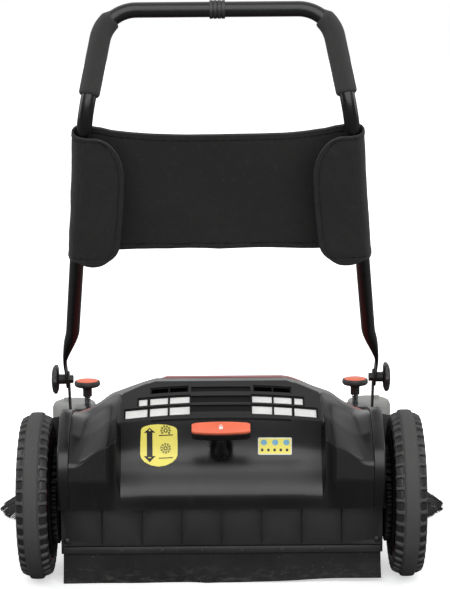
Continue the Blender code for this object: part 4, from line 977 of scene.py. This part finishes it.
def hopper():
    xs = [0.0, 0.004, 0.008, 0.012, 0.016, 0.020, 0.024, 0.030]
    xs += [0.030 + 0.0088 * k for k in range(1, 10)] + [FLAT_TOP_X]
    xs += [0.124, 0.132, 0.140, 0.148, 0.156, 0.162, 0.168, 0.173, 0.1765, RECESS_X]
    xs += [0.1786, 0.181, 0.1834, SHOULDER_IN_X, 0.186, 0.188, 0.190, 0.194, 0.198, 0.202, 0.206, 0.212]
    xs += [0.220, 0.2307, 0.238, 0.246, 0.2514, 0.256, 0.258, 0.260, 0.262, 0.2635, 0.2646, HOPPER_HALF]
    rings = [[at(x, y, z) for y, z in hopper_station(x)] for x in [-x for x in xs[:0:-1]] + xs]
    for ring in rings:
        for i, p in enumerate(ring):
            away = p - STEM_SPOT
            off = (away - STEM_WAY * away.dot(STEM_WAY)).length
            if off < 0.022 and abs(away.dot(STEM_WAY)) < 0.03:
                ring[i] = p - STEM_WAY * (0.0062 * ease((0.022 - off) / 0.011))
    shape = skin_between(rings, closed_ring=False)
    shell = fresh("hopper_body", shape, "black_plastic", "hopper", ("hopper_shell",), 30)
    walled(shell)
    steps = [slope_slot(-0.0535, 0.0535, a, b, -0.0023, 0.01, 0.5) for a, b in MIDDLE_ROWS]
    slots = []
    for share0, share1, columns in SLOT_ROWS:
        for sign in (-1, 1):
            x0, x1 = sorted((sign * (columns[0][0] - 0.002), sign * (columns[-1][1] + 0.003)))
            steps.append(slope_slot(x0, x1, share0 - 0.035, share1 + 0.02, -0.0012, 0.01))
        for column in columns:
            for sign in (-1, 1):
                x0, x1 = sorted(sign * x for x in column)
                slots.append(slope_slot(x0, x1, share0, share1, -0.008, 0.01))
    cut(shell, joined(steps))
    cut(shell, joined(slots))
    bore = [ring_around(STEM_SPOT + STEM_WAY * h, X_WAY, STEM_UP, 0.0116, 32) for h in (-0.04, 0.04)]
    cut(shell, skin_between(bore))
    shell.data.shade_smooth()
    shell.data.set_sharp_from_angle(angle=radians(30))
    shell.data.materials.clear()
    shell.data.materials.append(LOOKS["black_plastic"].made)
    c, s = cos(SLOPE_TILT), sin(SLOPE_TILT)

    # The floors of the sunk grille bands take the dull black: painted shade in the bands.
    def sunk_shade(face):
        y = face.center.y - AXLE_Y - (FRONT_Y - TOP_DEPTH)
        z = face.center.z - HOPPER_TOP
        along, lift = -y * c - z * s, z * c - y * s
        return -0.0040 < lift < -0.0008 and 0.005 < along < SLOPE_L * 1.02 and abs(face.center.x) < 0.177

    second_look(shell, "dull_black_and_shade", sunk_shade)
    return shell


BAR_HALF_W, BAR_END_W, BAR_CORNER = 0.0124, 0.0096, 0.0016
BAR_STEPS = 16


def bar_outline(half_l, half_w, end_w, lift):
    """A bar's outline, widest in its middle and with round corners, at a height along the stem."""
    ring = []
    for sign in (1, -1):
        for k in range(BAR_STEPS + 1):
            x = half_l - 2 * half_l * k / BAR_STEPS
            wide = end_w + (half_w - end_w) * (1 - (x / half_l) ** 2)
            wide -= BAR_CORNER * round_drop(hump(half_l - abs(x), BAR_CORNER))
            ring.append(STEM_SPOT + STEM_WAY * lift + X_WAY * (sign * x) + STEM_UP * (sign * wide))
    return ring


def bar_block(half_l, low, shift, steps):
    """A bar or its base plate: each step is how far the outline draws in, and at what height."""
    rings = [bar_outline(half_l - k, BAR_HALF_W - k, BAR_END_W - k, low + h) for k, h in steps]
    return skin_between([[p + STEM_UP * shift for p in ring] for ring in rings])


def t_handle():
    """A bar on a base plate, at the end of the slanted stem, with a plain mark on its face."""
    steps = ((0.0, 0.0), (0.0, 0.0034), (0.0004, 0.0048), (0.0014, 0.0056), (0.0036, 0.0060))
    bar = bar_block(0.0513, 0.0690, 0.0010, steps)
    fresh("t_handle_bar", bar, "coral_red", "t_handle", ("t_handle_cap",), 40)
    plate = bar_block(0.0510, 0.0520, -0.0006, ((0.0015, 0.0), (0.0, 0.0015), (0.0, 0.0169)))
    stem = [(0.0, -0.0138), (0.0130, -0.0138), (0.0133, -0.0135), (0.0133, -0.0108), (0.0108, -0.0108),
            (0.0106, 0.0), (0.0100, 0.030), (0.0103, 0.044), (0.0125, 0.0500), (0.0150, 0.0522),
            (0.0, 0.0522)]
    post = joined([plate, spun(stem, STEM_SPOT, STEM_WAY, 40)])
    fresh("t_handle_post", post, "black_plastic", "t_handle", ("t_handle_stem",), 35)
    spot = STEM_SPOT + STEM_WAY * 0.0750 + STEM_UP * 0.0014
    corners = ((-0.0034, -0.0046), (0.0034, -0.0046), (0.0034, 0.0006), (-0.0034, 0.0006))
    block = [[spot + X_WAY * x + STEM_UP * y + STEM_WAY * h for x, y in corners] for h in (-0.0006, 0.00015)]
    arch = [spot + X_WAY * (0.0022 * cos(pi * k / 10)) + STEM_UP * (0.0006 + 0.0036 * sin(pi * k / 10))
            - STEM_WAY * 0.0002 for k in range(11)]
    mark = joined([skin_between(block), sweep(arch, [0.0006] * 11, 8)])
    fresh("t_handle_mark", mark, "label_white", "t_handle", smooth=40, slot="coral_red")


# Red hood: at each Y the heights of its edge and crown and its half width; across, the share of the rise

HOOD_STATIONS = ((0.0605, 0.2880, 0.3526, 0.2677), (0.120, 0.2800, 0.3440, 0.2677),
                 (0.170, 0.2640, 0.3330, 0.2677), (0.210, 0.2480, 0.3190, 0.2637),
                 (0.300, 0.2340, 0.2770, 0.2280), (0.380, 0.2110, 0.2315, 0.2280),
                 (0.426, 0.1795, 0.1835, 0.2280))
HOOD_ARCH = ((0.0, 1.0), (0.43, 1.0), (0.72, 0.54), (0.86, 0.19), (0.94, 0.03), (1.0, -0.06))
HOOD_STEPS = 60
HOOD_SKIRT = 0.030


def hood():
    rings = []
    start, end = HOOD_STATIONS[0][0], HOOD_STATIONS[-1][0]
    for k in range(HOOD_STEPS + 1):
        y = start + (end - start) * k / HOOD_STEPS
        edge, crown, half = [smooth_between(y, [(s[0], s[i]) for s in HOOD_STATIONS]) for i in (1, 2, 3)]
        ring = [at(-half, y, edge - HOOD_SKIRT)]
        for i in range(49):
            a = -1 + i / 24
            rise = (0.94 if a < -0.38 else 1.0) * smooth_between(abs(a), HOOD_ARCH)
            ring.append(at(a * half, y, edge + rise * (crown - edge)))
        rings.append(ring + [at(half, y, edge - HOOD_SKIRT)])
    shape = skin_between(rings, closed_ring=False, ends=False)
    cover = fresh("hood_cover", shape, "red_plastic", "chassis", ("front_hood",), 40)
    # The inner faces take the dark, dull red: painted shade inside the hood.
    cover.data.materials.append(LOOKS["hood_inside_shade"].made)
    walled(cover, inside_look=1)


# Rubber skirt with a lazy wave and a lifted corner

SKIRT_Y, SKIRT_T, SKIRT_FLARE = -0.0358, 0.003, 0.013
SKIRT_TOP, SKIRT_BEND, SKIRT_HALF = 0.064, 0.049, 0.2845
SKIRT_ROWS, SKIRT_COLUMNS = 26, 120


def skirt():
    front, back = [], []
    for j in range(SKIRT_ROWS + 1):
        z = SKIRT_TOP * (1 - j / SKIRT_ROWS)
        drop = max(0.0, (SKIRT_BEND - z) / SKIRT_BEND)
        y = SKIRT_Y - SKIRT_FLARE * drop
        for i in range(SKIRT_COLUMNS + 1):
            x = -SKIRT_HALF + 2 * SKIRT_HALF * i / SKIRT_COLUMNS
            wave = 0.0016 * sin(x * 19 + 0.6) + 0.0010 * sin(x * 47 + 2.0)
            wave += 0.0022 * noise(Vector((x * 9, 3.1, 0)))
            fold = 0.0035 * hump(x + 0.028 - 0.05 * (1 - drop), 0.022)
            corner = ease((x - 0.010) / 0.25)
            push = (wave + fold + 0.006 * corner) * drop ** 2
            here_z = z + 0.0075 * corner * ease(drop) * drop + 0.0002
            front.append(at(x, y - SKIRT_T - push, here_z))
            back.append(at(x, y - push * 0.97, here_z))
    shape = two_sided(front, back, SKIRT_ROWS, SKIRT_COLUMNS)
    fresh("skirt_flap", shape, "skirt_rubber", "chassis", ("rear_skirt",), 50)


# Bristles

CORE_R, ROLLER_R, ROLLER_HALF = 0.0275, 0.1150, 0.2555
ROLLER_ROWS, ROLLER_TUFTS, ROLLER_TURN = 6, 74, radians(120)
DISC_TUFTS = 32


def strand(path, radii):
    """One bristle: a three-sided taper along points."""
    rings = []
    for i, here in enumerate(path):
        ahead = (path[min(i + 1, len(path) - 1)] - path[max(i - 1, 0)]).normalized()
        side = ahead.cross(Vector((0.31, 0.52, 0.79))).normalized()
        rings.append(ring_around(here, side, ahead.cross(side), radii[i], 3))
    return skin_between(rings)


def main_bristles():
    """Six spiral rows of tufts that fan out towards their tips."""
    rng = random.Random(11)
    axis = joint_spot("main_brush_spin")
    shapes = []
    for row in range(ROLLER_ROWS):
        for k in range(ROLLER_TUFTS):
            share = (k + 0.5) / ROLLER_TUFTS
            x = -ROLLER_HALF + 2 * ROLLER_HALF * share
            base = ROLLER_TURN * share - pi / 2 + 2 * pi * row / ROLLER_ROWS
            for _ in range(11):
                lean = clamped(rng.gauss(0, 0.048), -0.105, 0.105)
                spread = rng.gauss(0, 0.0032)
                foot = x + rng.uniform(-0.0024, 0.0024)
                start = base + rng.uniform(-0.0025, 0.0025) / 0.030
                tip = ROLLER_R + rng.uniform(-0.0016, 0.0)
                path = []
                for r in (CORE_R, 0.060, 0.090, tip):
                    s = (r - CORE_R) / (ROLLER_R - CORE_R)
                    a = start + lean * s ** 1.3
                    here_x = clamped(foot + spread * s * 1.6, -ROLLER_HALF, ROLLER_HALF)
                    path.append(axis + Vector((here_x, r * cos(a), r * sin(a))))
                shapes.append(strand(path, (0.00055, 0.0005, 0.00045, 0.0003)))
    sleeve = [(0.0243, -0.2580), (0.0292, -0.2580), (0.0300, -0.2570), (0.0300, 0.2570), (0.0292, 0.2580),
              (0.0243, 0.2580)]
    shapes.append(tube_along_x(axis, sleeve, 40))
    fresh("main_brush_tufts", joined(shapes), "bristles", "main_brush", ("main_brush_bristles",), 180)


def side_bristles(label, side):
    """Tufts set in the disc, drooping outward to a ring just above the floor."""
    rng = random.Random(5 + side)
    hub = joint_spot(label + "_side_brush_spin").xy.to_3d()
    foot = 0.036
    reach = [(foot, 0.0512), (0.062, 0.0470), (0.090, 0.0372), (0.118, 0.0245), (0.143, 0.0115),
             (0.1575, 0.0022)]
    shapes = []
    for k in range(DISC_TUFTS):
        base = 2 * pi * (k + 0.5) / DISC_TUFTS
        inner = k % 2
        for _ in range(60):
            start = base + rng.uniform(-0.075, 0.075)
            fan = clamped(rng.gauss(0, 0.045), -0.12, 0.12)
            droop = rng.gauss(0.0, 0.42)
            whole = rng.uniform(0.955, 1.0) - 0.03 * inner
            path = []
            for n, (r, z) in enumerate(reach):
                s = n / (len(reach) - 1)
                a = start + fan * s ** 1.4
                r = foot + (r - foot) * whole - 0.004 * abs(droop) * s
                z += 0.020 * droop * s * (1 - s) - 0.004 * inner * (1 - s)
                path.append(hub + Vector((r * cos(a), r * sin(a), clamped(z, 0.0012, 0.0508))))
            shapes.append(strand(path, (0.0007, 0.00065, 0.0006, 0.00055, 0.0005, 0.0004)))
    disc = [(0.0300, 0.0440), (0.0485, 0.0455), (0.0500, 0.0470), (0.0500, 0.0510), (0.0492, 0.0517),
            (0.0300, 0.0517)]
    shapes.append(looped([ring_around(hub + Z_WAY * z, X_WAY, Y_WAY, r, 48) for r, z in disc]))
    brush = label + "_side_brush"
    fresh(label + "_side_tufts", joined(shapes), "bristles", brush, (label + "_side_bristles",), 180)


# Springs, rods and the clip

SPRING_COILS, COIL_STEPS = 5.5, 26
SPRING_R, WIRE_R = 0.0053, 0.0011
THREAD_R, ROOT_R, THREAD_PITCH = 0.00295, 0.00255, 0.0010


def middle_of(box):
    return (Vector(box[0]) + Vector(box[1])) / 2


def spring(label, side):
    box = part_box(label + "_adjuster_spring")
    spot = middle_of(box)
    low, high = box[0][2] + 0.0010, box[1][2] - 0.0012
    total = int(SPRING_COILS * COIL_STEPS)
    path = []
    for k in range(total + 1):
        share = k / total
        a = 2 * pi * SPRING_COILS * share
        z = low + (high - low) * (ease(share) * 0.25 + share * 0.75)
        path.append(Vector((spot.x + SPRING_R * cos(a), spot.y + side * SPRING_R * sin(a), z)))
    wire = sweep(path, [WIRE_R] * len(path), 10)
    stands_for = (label + "_adjuster_spring",)
    fresh(label + "_spring_wire", wire, "spring_steel", "chassis", stands_for, 60, "zinc_steel")


def threaded_rod(label):
    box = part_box(label + "_adjuster_rod")
    z, top = box[0][2], box[1][2]
    profile = [(0.0, z)]
    while z < top - 0.0012:
        profile += [(ROOT_R, z), (THREAD_R, z + THREAD_PITCH / 2)]
        z += THREAD_PITCH
    profile += [(0.0026, top - 0.0003), (0.0022, top), (0.0, top)]
    shape = spun(profile, middle_of(box).xy.to_3d(), Z_WAY, 20)
    fresh(label + "_threaded_rod", shape, "zinc_steel", label + "_carrier", (label + "_adjuster_rod",), 50)


def clip():
    """A sleeve round the crossbar with four ribs."""
    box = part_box("crossbar_clip")
    half = (box[1][0] - box[0][0]) / 2
    inner, outer = TUBE_R + 0.0004, 0.0151
    line = [(inner, -half), (outer - 0.0010, -half), (outer - 0.0002, -half + 0.0006)]
    for centre in (-0.0098, -0.0034, 0.0034, 0.0098):
        line += [(outer, centre - 0.0021), (outer, centre + 0.0021), (outer - 0.0011, centre + 0.0025),
                 (outer - 0.0011, centre + 0.0037)]
    line = line[:-2] + [(outer - 0.0002, half - 0.0006), (outer - 0.0010, half), (inner, half)]
    fresh("ribbed_clip", tube_along_x(middle_of(box), line, 40), "matt_black", "handle", ("crossbar_clip",))


# Rolled rear edges of the side plates, and the dark rings on the wheels' inner sides, partly dust shields and
# partly painted shade

BAND_IN_X, BAND_OUT_X = 0.2676, 0.2887
BAND_LINE = ((-0.088, 0.1447), (-0.1045, 0.185), (-0.109, 0.212), (-0.1035, 0.239), (-0.085, 0.2610),
             (-0.045, 0.2875), (0.0, 0.3037), (0.050, 0.2965), (0.095, 0.2838), (0.165, 0.2688))
BAND_STEPS = 9


def edge_band(label, side):
    """A strip with soft corners that follows the side plate's rear edge, level with the hopper's shoulder."""
    line = []
    ends = [BAND_LINE[0], *BAND_LINE, BAND_LINE[-1]]
    for k in range(len(BAND_LINE) - 1):
        line += [curve_through(*ends[k:k + 4], i / BAND_STEPS) for i in range(BAND_STEPS)]
    line.append(BAND_LINE[-1])
    inner = ((0.0, -0.0035), (0.0, -0.0012), (0.0005, -0.0003), (0.0018, 0.0))
    outer = ((0.0060, 0.0010), (0.0036, 0.0009), (0.0016, 0.0), (0.0004, -0.0014), (0.0, -0.0035))
    across = [(BAND_IN_X + x, h) for x, h in inner] + [(BAND_OUT_X - x, h) for x, h in outer]
    rings = []
    for i, (y, z) in enumerate(line):
        before, after = line[max(i - 1, 0)], line[min(i + 1, len(line) - 1)]
        out = Vector((0, before[1] - after[1], after[0] - before[0])).normalized()
        rings.append([at(side * x, y, z) + out * h for x, h in across])
    fresh(label + "_edge_band", skin_between(rings), "black_plastic", "chassis", smooth=50)


def dust_shield_and_shade(label, side):
    """A thin dished dull black ring that closes the wheel's inner side between the gear and the rim; it stands for
    a dust shield and for painted shade on the rim's inner side.
    """
    profile = [(0.0245, 0.3028), (0.0300, 0.3024), (0.1040, 0.3024), (0.1110, 0.3030), (0.1128, 0.3040),
               (0.1110, 0.3042), (0.0245, 0.3038)]
    axle = at(0, 0, WHEEL_R)
    shape = tube_along_x(axle, [(r, side * x) for r, x in profile], 96)
    fresh(label + "_dust_shield_and_shade", shape, "dull_black_and_shade", label + "_wheel", smooth=40, slot="matt_black")


# Labels, laid on the hopper's skin and given in the photograph's pixels

LABEL_TOP = ((141.0, 430.1), (141.8, 428.1), (143.8, 426.7), (150.0, 424.9), (158.4, 424.2), (167.0, 424.9),
             (173.6, 426.5), (176.4, 428.3), (177.2, 430.5))
LABEL_BOTTOM = ((177.6, 444.1), (177.6, 455.1), (176.2, 458.5), (172.5, 462.3), (166.0, 465.5),
                (158.6, 466.7), (151.0, 465.4), (144.5, 462.1), (141.2, 458.1), (140.2, 454.1),
                (140.4, 442.1))
PRINT_STEP = 1.6
ARROW = (((149.6, 427.7), (155.2, 432.5), (144.0, 432.7)), ((155.6, 456.1), (149.8, 462.3), (143.8, 456.3)),
         ((152.4, 432.1), (152.6, 456.7), (147.0, 456.7), (146.8, 432.1)))
BRUSH_X, UPPER_BRUSH_Y, LOWER_BRUSH_Y = 165.6, 430.4, 448.3


def lay(tree, outline, lift, thick):
    """A flat printed shape laid on the surface behind its outline."""
    work = bmesh.new()
    work.faces.new([work.verts.new((x, y, 0)) for x, y in outline])
    bmesh.ops.triangulate(work, faces=work.faces)
    for _ in range(7):
        long = [e for e in work.edges if e.calc_length() > PRINT_STEP]
        if not long:
            break
        bmesh.ops.subdivide_edges(work, edges=long, cuts=1)
        bmesh.ops.triangulate(work, faces=work.faces)
    work.verts.index_update()
    tris = [[v.index for v in f.verts] for f in work.faces]
    rim = [(e.verts[0].index, e.verts[1].index) for e in work.edges if len(e.link_faces) == 1]
    upper, lower = [], []
    for vert in work.verts:
        way = sight(vert.co.x, vert.co.y)
        hit, normal, _, _ = tree.ray_cast(CAMERA_SPOT, way)
        if normal.dot(way) > 0:
            normal = -normal
        upper.append(hit + normal * (lift + thick))
        lower.append(hit + normal * (lift - 0.0001))
    work.free()
    step = len(upper)
    faces = tris + [[step + i for i in face[::-1]] for face in tris]
    return upper + lower, faces + [[a, b, step + b, step + a] for a, b in rim]


def arcs(cx, cy, rx, ry, a0, a1, steps):
    angles = [radians(a0 + (a1 - a0) * k / steps) for k in range(steps + 1)]
    return [(cx + rx * cos(a), cy + ry * sin(a)) for a in angles]


def rounded(x0, y0, x1, y1, r, steps=6):
    corners = ((x1 - r, y1 - r), (x0 + r, y1 - r), (x0 + r, y0 + r), (x1 - r, y0 + r))
    return [p for k, (x, y) in enumerate(corners) for p in arcs(x, y, r, r, 90 * k, 90 * k + 90, steps)]


def brush_sign(cy, start, limit):
    """A small round brush: short rays in pairs, of which those that don't fit are left out."""
    ink = []
    for k in range(10):
        a = radians(36 * k + start)
        if sin(a) > limit:
            continue
        for spread in (-0.11, 0.11):
            c, s = cos(a + spread), sin(a + spread)
            ink.append([(BRUSH_X + c * r - s * w, cy + s * r + c * w)
                        for r, w in ((3.1, 0.28), (5.4, 0.28), (5.4, -0.28), (3.1, -0.28))])
    return ink


def labels(shell):
    """Plates with generic marks: an arrow and two brushes on the left one, dots on the right one."""
    points = [v.co.copy() for v in shell.data.vertices]
    tree = BVHTree.FromPolygons(points, [list(p.vertices) for p in shell.data.polygons])

    def sticker(name, outlines, look, lift, thick):
        shape = joined([lay(tree, outline, lift, thick) for outline in outlines])
        fresh(name, shape, look, "hopper", smooth=60, slot="black_plastic")

    ink = list(ARROW) + brush_sign(UPPER_BRUSH_Y, 0, 0.75) + brush_sign(LOWER_BRUSH_Y, 12, 1)
    ink += [[(158.8, y), (173.0, y - 0.6), (173.0, y + 0.2), (158.8, y + 0.9)] for y in (435.0, 457.9)]
    ink += [arcs(BRUSH_X, y, 2.1, 2.1, 0, 345, 23) for y in (UPPER_BRUSH_Y, LOWER_BRUSH_Y)]
    dots = [arcs(BRUSH_X, y, 1.1, 1.1, 0, 340, 17) for y in (UPPER_BRUSH_Y, LOWER_BRUSH_Y)]
    dots += [rounded(148.6, 429.9, 150.8, 430.6, 0.3, 2), rounded(149.3, 429.2, 150.1, 431.3, 0.3, 2),
             rounded(148.4, 457.4, 151.2, 458.2, 0.3, 2)]
    sticker("left_label_base", [LABEL_TOP + LABEL_BOTTOM], "label_yellow", 0.0001, 0.0003)
    sticker("left_label_print", ink, "label_ink", 0.0004, 0.0006)
    sticker("left_label_dots", dots, "label_yellow", 0.0008, 0.0005)
    sticker("right_label_base", [rounded(258.0, 437.5, 291.8, 454.8, 1.4)], "label_white", 0.0001, 0.0003)
    sticker("right_label_face", [rounded(258.9, 438.4, 290.9, 453.9, 0.9)], "label_yellow", 0.0003, 0.0003)
    discs = [arcs(x, 442.4, 3.1, 2.9, 0, 345, 23) for x in (263.9, 275.2, 286.4)]
    sticker("right_label_dots", discs, "label_blue", 0.0005, 0.0002)
    marks = [rounded(x - 1.2, 448.6, x + 1.2, 451.4, 0.5, 2) for x in (262.2, 268.4, 274.6, 280.8, 287.0)]
    sticker("right_label_marks", marks, "label_ink", 0.0005, 0.0002)


bpy.context.scene.view_settings.view_transform = "Standard"
LOOKS = make_looks()
make_camera()
make_world()
make_stage()
area_light("front", (0.3, -4.8, 3.6), (0, 0, 0.35), (8.4, 6.4), 420)
area_light("top", (0.0, 0.4, 3.6), (0, 0, 0.2), (3.2, 2.6), 3)
area_light("left_strip", (-2.8, 0.1, 1.5), (0, 0, 0.4), (0.7, 2.4), 20)
area_light("right_strip", (2.8, 0.1, 1.5), (0, 0, 0.4), (0.7, 2.4), 17)
for label, side in SIDES:
    tyre(label, side)
    dust_shield_and_shade(label, side)
    edge_band(label, side)
    grip(label, side)
    side_bristles(label, side)
    spring(label, side)
    threaded_rod(label)
handle_tube()
screen()
skirt()
hood()
main_bristles()
clip()
t_handle()
labels(hopper())

# The other nodes keep their own shape, with finer edges

FINISH = {"black_plastic": "side_black", "black_bracket": "knob_black"}
ROUND_OFF = {"rear_panel": 0.0004, "skirt_clamp": 0.0003, "left_star_knob": 0.0016, "right_star_knob": 0.0016,
             "left_side_plate": 0.0010, "right_side_plate": 0.0010}
for body, nodes in frame["record"]["behaviour"]["bodies"].items():
    for node in nodes:
        if node in STOOD_FOR:
            continue
        slot = SLOTS[node]
        look = "dull_black_and_shade" if node.endswith("_gear") else FINISH.get(slot, slot)
        segments, smooth = (4, 52.0) if node.endswith("side_plate") else (2, 35.0)
        refine(node, look, body, slot, ROUND_OFF.get(node, 0.0006), segments, smooth)
